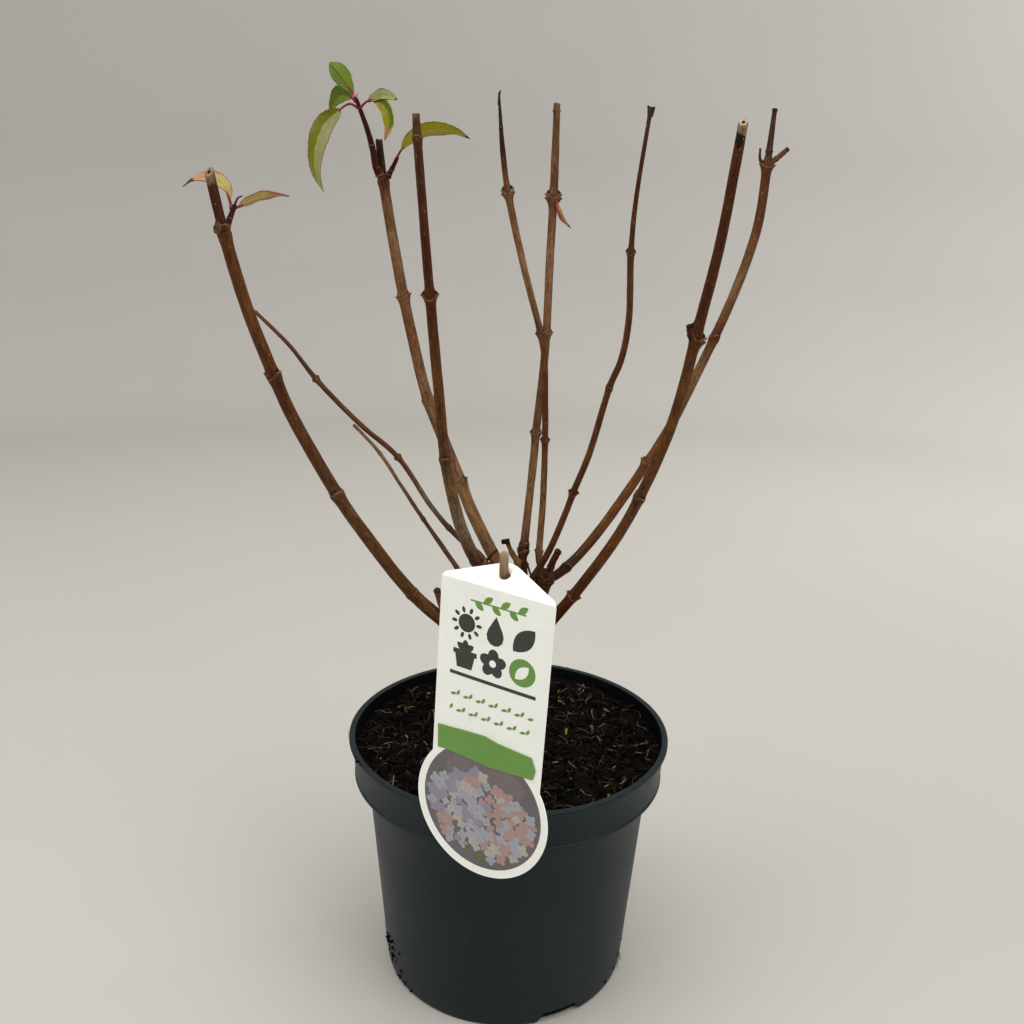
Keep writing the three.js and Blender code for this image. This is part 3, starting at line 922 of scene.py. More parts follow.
    def _swell(self, distance: float, outward: Vector, along: Vector, angle: float) -> float:
        """Works out how much wider than plain the rod is at a point of its skin.

        Args:
            distance: the point's distance from the limb's foot.
            outward: the direction from the middle line to the point.
            along: the limb's direction there.
            angle: the point's angle round the limb.

        Returns:
            The radius there against the plain one.
        """
        swell = 1.0
        for joint in self.joints:
            past, opposite = self._beside(joint, distance, outward, along)
            if abs(past) > self.JOINT_REACH:
                continue
            swell += joint.size * self.SWELL * bell(past + 0.25, 1.0)
            wing = max(0.0, opposite) ** 2.5
            for ring in range(joint.rings):
                over = past + self.RING_GAP * ring
                slope = math.exp(over / 0.6) if over < 0 else bell(over, 0.1)
                swell += joint.size * (self.RIDGE + self.WING * wing) * slope / (1 + 0.6 * ring)
        if self.flare:
            low = max(0.0, 1 - distance / self.FLARE_HEIGHT) ** 2
            lobes = self.FLARE_LOBE_DEPTH * math.cos(self.FLARE_LOBES * angle)
            swell += low * (self.FLARE_EXTRA / self.radius[0] + lobes)
        return swell

    @staticmethod
    def _facing(joint: Joint) -> Vector:
        """Returns the level direction in which one leaf of a joint's pair stood."""
        turn = math.radians(joint.facing)
        return Vector((math.cos(turn), -math.sin(turn), 0))

    def _rod(self, mesh: Mesh) -> None:
        """Adds the limb's own rod.

        Args:
            mesh: the mesh that gains it.
        """
        seed = Vector((len(self.name) * 7.3, sum(map(ord, self.name)) * 0.37, 0))
        rings = [(distance, 0.0, 1.0, self.tone_at(distance)) for distance in self._stations()]
        end = self.course.length
        edge = self.tone_at(end)
        if self.top is Top.DOME:
            rings += [(end, rise * self.radius[1], shrink, edge) for rise, shrink in self.DOME_STEPS]
        else:
            rings += [(end, 0.25, 0.97, edge), (end, 0.4, 0.86, edge), (end, 0.41, 0.82, self.cap)]
            rings += [(end, 0.38, 0.42, self.cap), (end, 0.36, 0.34, self.PITH)]
            rings += [(end, -0.6, 0.2, self.PITH), (end, -0.7, 0.05, self.PITH)]
        torn = self.TORN_DEPTH if self.top is Top.TORN else 0.0
        self._sleeve(mesh, self.course, rings, self.sides, seed, self.radius_at, self._swell, torn)

    def _sleeve(self, mesh: Mesh, course: Course, rings: Sequence[tuple[float, float, float, Colour]],
                sides: int, seed: Vector, radius_at: Callable[[float], float],
                swell: Callable[[float, Vector, Vector, float], float], torn: float) -> None:
        """Adds one rod along a course.

        Args:
            mesh: the mesh that gains the rod.
            course: its middle line.
            rings: for each ring its distance, rise past it, share of the radius and colour.
            sides: how many sides it has.
            seed: sets its relief apart from other limbs' relief.
            radius_at: its radius at a distance.
            swell: how much wider it is at a point of its skin.
            torn: how deep its end is torn, against the radius.
        """
        limb = mesh.verts.layers.float_vector["limb"]
        bark = mesh.verts.layers.float_color["bark"]
        start = course.heading(0.0)
        across = Vector((1, 0, 0)) if abs(start.y) > abs(start.x) else Vector((0, 1, 0))
        frames = course.frames(rings, across)
        grain = 2.4 if self.relief < 0.3 else 1.3
        own = course is self.course
        slant = self.slant if own else 0.0

        def shape(corner: Corner, angle: float, row: int) -> None:
            """Sets one vertex of the rod down."""
            distance, _, share, colour = rings[row]
            middle, side, third, along = frames[row]
            outward = side * math.cos(angle) + third * math.sin(angle)
            plain = radius_at(distance)
            rough = noise.noise(seed + Vector((outward.x * grain, outward.y * grain, distance * 0.07)))
            fine = noise.noise(seed + outward * plain * 0.9 + along * distance * 0.35)
            ridge = self.relief * (rough + 0.45 * fine)
            near_end = max(0.0, 1 - (course.length - distance) / (self.SLANT_REACH * plain))
            lean = outward.dot(square_to(Vector((0.3, 1, 0)), along)) * slant * share
            tear = noise.noise(seed + outward * 2.7 * share) * torn
            radius = (plain * swell(distance, outward, along, angle) + ridge) * share
            corner.co = middle + outward * radius + along * (lean + tear) * plain * near_end
            corner[limb] = (math.cos(angle) * plain + seed.x, math.sin(angle) * plain + seed.y, distance)
            if own and distance < course.length:
                blot = noise.noise(seed + outward * 1.6 + Vector((0, 0, distance * 0.3)))
                colour = self.tone_at(distance + self.RAGGED * blot)
            corner[bark] = self._scars_and_painted_shade(colour, distance, outward, along) if own else colour

        rolled(mesh, sides, len(rings) - 1, shape)

    def _scars_and_painted_shade(self, colour: Colour, distance: float, outward: Vector, along: Vector) -> Colour:
        """Adds the pale scars of the joints to the bark's colour, with painted shade in a dark band just
        above each ring and under the pair's ledges.

        Args:
            colour: the plain colour.
            distance: the point's distance from the limb's foot.
            outward: the direction from the middle line to the point.
            along: the limb's direction there.

        Returns:
            The colour there.
        """
        for joint in self.joints:
            past, opposite = self._beside(joint, distance, outward, along)
            if abs(past) > self.SCAR_AND_SHADE_REACH:
                continue
            wing = max(0.0, opposite)
            pale = 0.8 * bell(past + 0.02, 0.08) + 0.75 * bell(past + 0.42 - 0.3 * wing, 0.14) * wing
            # Painted shade: a dark band just above the ring and a dark patch under the pair's ledges.
            dark = bell(past - 0.2, 0.15) + 0.7 * bell(past + 0.2, 0.09) * wing ** 2
            colour = blended(colour, self.SCAR, min(1.0, pale))
            colour = blended(colour, self.BUD_AND_SHADE, min(0.9, dark * 0.85))
        return colour

    def _snag(self, mesh: Mesh, snag: Snag, index: int) -> None:
        """Adds a dead stub.

        Args:
            mesh: the mesh that gains it.
            snag: the stub.
            index: its number on the limb, which sets its relief apart.
        """
        course = Course(snag.path)
        foot, tip = snag.radius
        steps = max(8, round(course.length / 0.8))
        dark = blended(snag.colour, self.BUD_AND_SHADE, 0.7)
        rings = []
        for step in range(steps + 1):
            distance = course.length * step / steps
            colour = blended(snag.colour, dark, bell(distance - course.length, 1.6))
            rings.append((distance, 0.0, 1.0, colour))
        rings += [(course.length, 0.3 * tip, 0.86, dark), (course.length, 0.45 * tip, 0.5, dark)]
        rings += [(course.length, 0.42 * tip, 0.12, dark)]
        seed = Vector((index * 11.0 + 3, len(self.name) * 2.0, 5))

        def radius_at(distance: float) -> float:
            """Returns the stub's radius at a distance."""
            return tip + (foot - tip) * (1 - min(1.0, distance / course.length)) ** 1.4

        def swell(distance: float, outward: Vector, along: Vector, angle: float) -> float:
            """Returns the stub's collar at its foot, its rings and its wider tip."""
            collar = 0.3 * bell(distance - 1.0, 2.5)
            ringed = sum(0.22 * bell(distance - spot, 0.7) for spot in snag.rings)
            return 1 + collar + ringed + snag.flare * bell(distance - course.length, 1.5)

        self._sleeve(mesh, course, rings, 14, seed, radius_at, swell, 0.3)

    def _knot(self, mesh: Mesh, knot: Knot) -> None:
        """Adds a knob with rings round the direction in which it looks.

        Args:
            mesh: the mesh that gains it.
            knot: the knob.
        """
        limb = mesh.verts.layers.float_vector["limb"]
        bark = mesh.verts.layers.float_color["bark"]
        distance = self.course.at_point(knot.at)
        looks = Vector(knot.facing).normalized()
        side = square_to(Vector((0.2, 0.1, 1)), looks)
        third = looks.cross(side)
        middle = self.course.point(distance) + looks * knot.reach
        ball = bmesh.ops.create_uvsphere(mesh, u_segments=28, v_segments=26, radius=1.0)["verts"]
        for corner in ball:
            x, y, z = corner.co
            turn = math.acos(max(-1.0, min(1.0, z)))
            ripple = math.cos(turn * 13 + 1.5 * noise.noise(corner.co * 1.7))
            lumps = noise.noise(corner.co * 1.6 + middle * 0.1)
            radius = knot.radius * (1 + 0.05 * ripple + 0.22 * lumps)
            corner.co = middle + (side * x + third * y + looks * z * 0.8) * radius
            corner[limb] = (x * knot.radius * 2, y * knot.radius * 2, distance + z * knot.radius)
            # Painted shade darkens the grooves between the knob's rings.
            shade = blended(knot.colour, self.BUD_AND_SHADE, 0.65 * max(0.0, -ripple))
            corner[bark] = blended(shade, self.PITH, bell(turn, 0.16))

    def _buds(self, mesh: Mesh, joint: Joint) -> None:
        """Adds a joint's two buds, each wrapped onto the limb and narrowing to a point at its top.

        Args:
            mesh: the mesh that gains the buds.
            joint: where they are.
        """
        limb = mesh.verts.layers.float_vector["limb"]
        bark = mesh.verts.layers.float_color["bark"]
        distance = self.course.at_point(joint.at)
        centre, along = self.course.point(distance), self.course.heading(distance)
        pair = square_to(self._facing(joint), along)
        radius = self.radius_at(distance)
        size = joint.size * radius
        half_width, half_height = self.BUD_REACH
        colour = blended(self.tone_at(distance), self.BUD_AND_SHADE, 0.85)
        for way in (1, -1):
            out = pair * way
            side = out.cross(along)
            shift = (self.BUD_RISE + joint.tilt * way) * size
            ball = bmesh.ops.create_uvsphere(mesh, u_segments=12, v_segments=10, radius=1.0)["verts"]
            for corner in ball:
                x, y, z = corner.co
                narrow = 1 - 0.88 * max(0.0, (z + 0.2) / 1.2) ** 1.5
                angle = x * (half_width * size) * narrow / radius
                lift = y * (self.BUD_RISE * size) * (1 - 0.15 * z) * (0.4 + 0.6 * narrow)
                outward = out * math.cos(angle) + side * math.sin(angle)
                height = z * (half_height * size) + shift
                corner.co = centre + outward * (0.75 * radius + lift) + along * height
                corner[limb] = (angle * radius * 3, lift * 3, distance + height)
                corner[bark] = colour


# Bark tones, as they show in the studio's light.
BLACKENED = seen(30, 20, 15)
CHARRED = seen(44, 30, 22)
MAROON = seen(57, 34, 20)
OLD = seen(60, 42, 28)
SLATE = seen(62, 48, 38)
REDDISH = seen(66, 38, 22)
UMBER = seen(69, 47, 32)
CHESTNUT = seen(74, 46, 26)
BROWN = seen(76, 53, 34)
WARM = seen(83, 54, 31)
FAWN = seen(87, 61, 41)
TAN = seen(96, 73, 49)
SAND = seen(104, 78, 54)
ASH = seen(84, 70, 57)
BLEACHED = seen(100, 87, 70)
BISCUIT = seen(118, 97, 74)
PEELED = seen(132, 116, 95)
CREAM = seen(146, 134, 108)

OLD_WOOD = {"top": Top.DOME, "finish": OLD_BARK, "slot": "old_wood"}
ARM_WOOD = {**OLD_WOOD, "sides": 28, "relief": 0.5}

STEM = Limb(
    name="main_stem",
    path=[(-6, 0, 0.3), (-6, 0, 24), (-5, 0, 58)],
    radius=(9.6, 8.6),
    tones=[(0, CHARRED), (0.8, OLD), (2, OLD)],
    sides=36, flare=True, relief=0.7, **OLD_WOOD,
)

ARMS = [
    Limb(
        name="left_arm",
        path=[(-6, 1, 40), (-11, 6, 78), (-15, 10, 107), (-19.5, 8.5, 130)],
        radius=(7.4, 5.6),
        tones=[(0, OLD), (3, CHESTNUT)],
        **ARM_WOOD,
    ),
    Limb(
        name="centre_arm",
        path=[(-4, 2, 40), (0.5, 6, 78), (3.2, 8.5, 107), (6, 10, 127)],
        radius=(6.6, 4.8),
        tones=[(0, OLD), (3, UMBER)],
        snags=[
            Snag([(5, 9, 126), (4, 9, 134), (0, 8, 141), (-3.6, 6.5, 149.6)], (3.2, 1.5), TAN,
                 rings=(9.0, 17.0)),
            Snag([(-2.2, 6, 150.8), (-7.2, 6, 150.2)], (1.6, 1.3), CHARRED),
            Snag([(-19, 7, 134), (-16.8, 6, 137.6), (-10.7, 3, 145.2)], (1.0, 0.6), UMBER),
            Snag([(6, 8, 130), (9.1, 6, 136), (13.5, 2, 126.5)], (0.9, 0.6), OLD),
        ],
        **ARM_WOOD,
    ),
    Limb(
        name="right_arm",
        path=[(-3, 2, 40), (6, 4, 74), (15, 4.5, 102), (22.5, 4.5, 124)],
        radius=(6.6, 6),
        tones=[(0, OLD), (3, CHESTNUT)],
        snags=[Snag([(24.5, 3, 126), (27.4, 1, 138), (31, 0, 146.4)], (3.0, 2.2), UMBER,
                    rings=(9.0,), flare=0.2)],
        knots=[Knot(3, (0.1, -0.8, 0.6), 3.2, 6.6, UMBER)],
        **ARM_WOOD,
    ),
]

CANES = [
    Limb(
        name="cane_far_left",
        path=[
            (-5, 0, 44), (-22, -1, 68), (-41, -4.5, 90), (-67.4, -14, 119), (-100.5, -29, 171),
            (-113, -36, 194.5), (-136.9, -49, 247.5), (-144.7, -55, 271.5), (-156.9, -63, 312.5),
            (-166, -70, 356), (-171, -72, 384.5),
        ],
        joints=[Joint(3, 20, 0.5), Joint(5, 70), Joint(7, 30, 1.15), Joint(9, 60, 1.3, 3)],
        radius=(6.6, 2.75), waist=[(2, 4.7), (3, 4.3), (5, 4), (8.8, 3.5), (9.15, 2.85)], slant=0.9,
        cap=BISCUIT,
        tones=[(0, BROWN), (5, BROWN), (7, CHESTNUT), (8, WARM), (8.9, CHESTNUT), (9.05, MAROON),
               (9.76, MAROON), (9.85, ASH), (10, BLEACHED)],
        snags=[Snag([(-41, -5, 91), (-47, -11, 108), (-50.5, -14, 121.5)], (2.6, 2.3), FAWN)],
        knots=[Knot(8.98, (-0.72, -0.68, 0.05), 1.5, 4.1, FAWN)],
    ),
    Limb(
        name="cane_front_left",
        path=[
            (-19.5, 8.5, 130), (-25.7, 3.2, 139), (-34.4, -4.6, 161.4), (-41.8, -15.8, 195.5),
            (-44.7, -22.3, 215.7), (-48, -37.8, 264.5), (-51.5, -53.9, 318.7), (-54.1, -65, 362),
            (-56.7, -73, 405.6), (-57.3, -74, 416.7),
        ],
        joints=[Joint(0.6, 30, 0.9, 2), Joint(4, 90), Joint(6, 0, 1.25), Joint(8, 90)],
        radius=(4.6, 2), waist=[(4, 3.5), (6, 3), (6.2, 2.75), (8, 2.4)], cap=ASH,
        tones=[(0, UMBER), (1, UMBER), (2, BLEACHED), (3, TAN), (4, BROWN), (5, WARM), (6, REDDISH),
               (7, REDDISH), (8, UMBER), (8.6, UMBER), (9, ASH)],
    ),
    Limb(
        name="cane_back_left",
        path=[
            (2, 8, 108), (-4, 12.5, 119), (-9.3, 18, 128.4), (-18.9, 26.8, 143.8),
            (-31.7, 38.7, 166.6), (-38, 45.4, 181), (-51, 58, 209), (-64, 70, 238),
            (-76.2, 84.3, 280.4), (-82.8, 92.1, 306.7), (-91.8, 102.5, 350), (-98.7, 109.7, 389),
            (-101.5, 112, 414),
        ],
        joints=[Joint(5, 40), Joint(7, 80), Joint(9, 25), Joint(11, 50, 1.3, 2)],
        radius=(4.7, 2.45), waist=[(5, 4.2), (9, 3.8), (10.85, 3.7), (11.1, 2.9)], top=Top.TORN,
        cap=CHARRED,
        tones=[(0, FAWN), (3, TAN), (4, SAND), (5, SAND), (6, FAWN), (7, TAN), (8, WARM), (9, FAWN),
               (10, TAN), (10.9, CHESTNUT), (11.15, CHARRED), (12, CHARRED)],
    ),
    Limb(
        name="cane_back_centre",
        path=[
            (6, 10, 127), (7.4, 13.6, 141), (8, 15, 146), (10.1, 23.1, 168.4), (13.5, 35, 205),
            (14.5, 39.6, 219.6), (19, 53.3, 265.3), (20.3, 59.3, 286.8), (21.5, 71.3, 332.4),
            (23, 82, 378), (23.6, 88.5, 412), (23.8, 92, 439),
        ],
        joints=[
            Joint(0.35, 20, 1.1, 2), Joint(1.1, 40, 1.0, 2), Joint(2, 60, 1.2, 2), Joint(5, 20, 1.1),
            Joint(7, 0, 1.1), Joint(9, 0, 1.6, 2), Joint(10.85, 0, 0.4),
        ],
        radius=(3.1, 2.35), waist=[(3, 2.75), (9.8, 2.85), (10.3, 2.45)], top=Top.TORN,
        cap=BLEACHED,
        tones=[(0, OLD), (1, OLD), (1.8, MAROON), (2.2, FAWN), (3, SAND), (4, TAN), (5, BROWN), (6, WARM),
               (7, FAWN), (8, SAND), (9, BROWN), (9.6, FAWN), (10.8, FAWN), (11, ASH)],
    ),
    Limb(
        name="cane_front_centre",
        path=[
            (21.5, 4.5, 126), (18.4, 5.3, 138), (18.2, 5.6, 144), (19.9, 7.4, 180),
            (20.1, 9.5, 220.7), (19.3, 11, 248), (17.6, 12.5, 280), (15.2, 13.3, 291.5),
            (3.7, 15.6, 331.6), (-8, 18.5, 379.5), (-11.8, 20, 404.6), (-14.8, 22, 438),
        ],
        joints=[
            Joint(2, 40), Joint(4, 20, 1.2), Joint(7, 20, 1.2), Joint(9, 10, 1.9, 2), Joint(10.4, 60, 0.8),
        ],
        radius=(2.4, 0.6), waist=[(4, 2.1), (8.8, 2.25), (9.1, 1.85), (10, 1.75), (10.5, 1.15)],
        top=Top.TORN, cap=BLACKENED,
        tones=[(0, BROWN), (1, FAWN), (2, SAND), (3, TAN), (4, CHESTNUT), (5, CHESTNUT), (6, WARM),
               (7, BROWN), (8, SAND), (9, FAWN), (9.8, MAROON), (10, CHARRED), (10.6, CHARRED),
               (11, SLATE)],
        snags=[Snag([(-14.4, 21.8, 431), (-14.7, 22, 435), (-13.9, 22, 439.5)], (0.8, 0.45), BLACKENED)],
    ),
    Limb(
        name="cane_slender_right",
        path=[
            (4, 7, 108), (9.3, 1.2, 119), (14.3, -3, 128.4), (23.7, -10.6, 148.4),
            (34.1, -22.3, 180.7), (37.9, -27.4, 195), (46.2, -37.4, 222.5), (55.9, -53.8, 268.8),
            (61, -60, 285.3), (63.5, -68, 309.3), (61.3, -80.6, 347.5), (61.8, -89, 376),
            (65.9, -98, 420),
        ],
        joints=[Joint(5, 0, 1.2), Joint(7, 80, 1.2), Joint(10, 20, 1.3), Joint(11.92, 0, 0.7)],
        radius=(2.3, 1.05), waist=[(6, 2.05), (9.9, 1.85), (10.15, 1.5), (11.2, 1.2)], top=Top.TORN,
        cap=SLATE,
        tones=[(0, UMBER), (2, OLD), (3, CHESTNUT), (4, WARM), (5, REDDISH), (6, WARM), (8, CHESTNUT),
               (9, WARM), (10, UMBER), (11, REDDISH), (12, SLATE)],
        snags=[
            Snag([(65.5, -97.6, 416), (64.9, -97.8, 419), (64.6, -97.8, 421)], (0.9, 0.55), OLD),
            Snag([(66, -98, 416), (67, -98, 418.6), (67.6, -98, 420.5)], (0.9, 0.5), OLD),
        ],
    ),
    Limb(
        name="cane_front_right",
        path=[
            (-2, -2, 46), (10, -3.5, 72), (23.5, -6, 92.3), (41.3, -16.2, 120.4), (66, -32, 165.5),
            (79, -43, 198), (92.4, -56.6, 242.3), (98, -65.4, 272.2), (101.8, -74, 302.5),
            (108.8, -86.3, 352.4), (112.4, -94, 393), (114.3, -96, 414),
        ],
        joints=[Joint(3, 0, 0.75), Joint(5, 70), Joint(8, 5, 1.35, 2, -0.6)],
        radius=(4.8, 2.6), waist=[(3, 3.7), (4.2, 3.4), (8, 3.15), (9, 2.9)], slant=0.7,
        cap=CREAM,
        tones=[(0, REDDISH), (2, MAROON), (3, REDDISH), (4, WARM), (5, BROWN), (6, WARM), (7, WARM),
               (7.8, CHESTNUT), (8.2, REDDISH), (10.42, REDDISH), (10.48, BLACKENED), (10.72, BLACKENED),
               (10.77, BLEACHED), (11, BISCUIT)],
        snags=[Snag([(100.6, -73.5, 299.6), (98.4, -74.5, 303), (97.2, -75, 307.6)], (2.2, 1.7),
                    MAROON, rings=(4.0,))],
    ),
    Limb(
        name="cane_back_right",
        path=[
            (22.5, 4.5, 124), (29.5, 6, 126.2), (45.3, 12.7, 138.7), (65.9, 22.7, 162.9),
            (92.6, 36, 200.7), (109, 44.3, 226.5), (127, 54.4, 262.6), (138, 60.3, 286.4),
            (152.8, 68.2, 321.8), (165, 75.8, 362.3), (169.4, 81.6, 404),
        ],
        joints=[Joint(1.6, 90, 0.9), Joint(4, 10, 1.1), Joint(7, 75, 1.1), Joint(9.93, 0, 1.15)],
        radius=(3.3, 3.2), top=Top.DOME,
        tones=[(0, REDDISH), (1, MAROON), (2, OLD), (3, WARM), (4, WARM), (5, CHESTNUT), (6, TAN),
               (7, REDDISH), (8, TAN), (9, CHESTNUT), (10, CHESTNUT)],
        snags=[
            Snag([(169.4, 81.6, 403), (170.5, 83, 420), (171.7, 84, 438)], (2.6, 1.6), OLD,
                 rings=(8.0,), flare=0.25),
            Snag([(169.4, 81.6, 402), (176, 81, 407), (182, 80, 412.6)], (2.2, 1.5), BROWN,
                 rings=(7.0, 10.5, 13.0)),
            Snag([(168.6, 81.8, 402), (164.6, 82.4, 404.8), (163.6, 82.5, 412.6)], (1.6, 0.6),
                 UMBER),
        ],
    ),
    Limb(
        name="cane_thin_left_long",
        path=[
            (-16, 9, 121), (-17.8, 15, 129), (-23, 20.5, 135.5), (-31.5, 23.6, 141), (-46, 29, 153),
            (-59, 35, 167), (-82.5, 45.5, 198.5), (-110.5, 54, 220.3), (-142.5, 64, 250),
            (-161.5, 69.5, 272.5), (-186.4, 74, 296),
        ],
        joints=[Joint(4, 40, 1.1), Joint(6, 0, 1.2), Joint(8, 10, 1.3)],
        radius=(2.6, 1.3), waist=[(4, 1.8), (8, 1.8), (9, 1.45)], cap=BISCUIT,
        tones=[(0, FAWN), (3, BROWN), (4, OLD), (5, ASH), (6, CHESTNUT), (7, CHESTNUT), (8, UMBER),
               (9, UMBER), (10, FAWN)],
    ),
    Limb(
        name="cane_thin_left_short",
        path=[
            (-14, 9, 96), (-21.5, 9.8, 104.5), (-29.4, 14, 113), (-40, 23, 126), (-65, 42, 155),
            (-82.4, 54, 177), (-98.7, 64.4, 197.8), (-117.6, 72, 215.8),
        ],
        joints=[Joint(4, 50, 1.1), Joint(6, 90, 1.2)],
        radius=(2.2, 1.2), waist=[(4, 1.45)], cap=BISCUIT,
        tones=[(0, BROWN), (4, UMBER), (5, TAN), (6, SAND), (7, ASH)],
    ),
    Limb(
        name="pruned_stub_front",
        path=[
            (-5, -3, 34), (-5, -24, 50), (-5, -66, 88), (-5, -108, 136), (-4.9, -124, 158),
            (-4.9, -125, 172), (-4.7, -125, 184.8),
        ],
        joints=[Joint(2, 0, 0.9)],
        radius=(4.2, 2.6), waist=[(4.4, 2.3), (5, 2.2), (5.35, 2.6)], top=Top.DOME, finish=PEG_WOOD,
        slot="pale_wood",
        tones=[(0, OLD), (3, TAN), (4.6, SLATE), (5, ASH), (5.25, BISCUIT), (6, PEELED)],
    ),
]


# Leaves.


CRIMSON = LeafSkin("leaf_crimson", seen(122, 50, 52))
PETIOLE = LeafSkin("petiole_crimson", seen(112, 38, 50), 0.45)
SHOOT = LeafSkin("young_shoot", seen(56, 31, 25), 0.55, 0.03, 0.08)
HOOK = LeafSkin("dead_hook", seen(44, 34, 30), 0.6, 0.0)
PALE_RING = LeafSkin("shoot_ring", seen(86, 62, 48), 0.6)
PINK_BUD = LeafSkin("pink_bud", seen(168, 118, 110), 0.5)
BRIGHT = LeafSkin("leaf_bright_green", seen(86, 102, 20))
MID = LeafSkin("leaf_mid_green", seen(72, 88, 20))
LONG_UPPER = LeafSkin("leaf_long_green", seen(90, 98, 26))
OLIVE = LeafSkin("leaf_olive", seen(138, 130, 34))
PALE = LeafSkin("leaf_pale_green", seen(114, 117, 74))
RIB_PALE = LeafSkin("leaf_rib", seen(132, 130, 66))
STRAW = LeafSkin("leaf_straw", seen(146, 132, 78))
ORANGE = LeafSkin("leaf_orange", seen(152, 112, 76))
RUSSET = LeafSkin("leaf_russet", seen(158, 116, 66), 0.6)
DARK_TIP = LeafSkin("leaf_dark_tip", seen(66, 38, 32), 0.6, 0.0)


@dataclass(frozen=True)
class LeafTones:
    """A leaf's colour by place.

    Attributes:
        blade, rib, edge, tip: the tones of the blade, its rib, its margin and its outer part.
        tip_from: the share of the length at which the outer part starts.
        end: the tone of the very tip, if it differs.
        half: the tone of the upper side past the rib, if it differs.
        end_from: the share of the length at which the very tip starts.
    """

    blade: LeafSkin
    rib: LeafSkin
    edge: LeafSkin
    tip: LeafSkin
    tip_from: float = 0.88
    end: LeafSkin | None = None
    half: LeafSkin | None = None
    end_from: float = 0.93

    MARGIN = 0.93
    RIB_WIDTH = 0.05

    def at(self, along: float, across: float, upper: bool) -> LeafSkin:
        """Returns the tone of a spot on the blade.

        Args:
            along: the share of the length at which it is.
            across: its share of the half width, negative on the far side of the rib.
            upper: whether it is on the upper side.

        Returns:
            The tone.
        """
        if along > self.end_from:
            return self.end or self.tip
        if abs(across) > self.MARGIN:
            return self.edge
        if along > self.tip_from + 0.12 * (0.5 - abs(across)):
            return self.tip
        if abs(across) < self.RIB_WIDTH:
            return self.rib
        return self.half if self.half and upper and across <= 0 else self.blade


@dataclass
class Leaf:
    """One leaf: a folded, veined and toothed blade on a round stalk.

    Attributes:
        stalk, rib: the middle lines of its stalk and of its blade.
        side: roughly the direction across the blade.
        half_width: the blade's half width where it is widest.
        fold: how far both halves are folded up, in degrees.
        tones: its colours by place.
        lean: where along the blade it is widest, earlier for a smaller number.
        wave: how far its margin waves.
        fullness: how full its outline is, fuller for a smaller number.
    """

    stalk: Sequence[Point]
    rib: Sequence[Point]
    side: Point
    half_width: float
    fold: float
    tones: LeafTones
    lean: float = 0.8
    wave: float = 0.5
    fullness: float = 0.9

    THICKNESS = 0.4
    COLUMNS = 60
    ROWS = 22
    TEETH = 23
    TOOTH = 0.06
    VEINS = 7
    STALK_RADIUS = (0.95, 0.7)


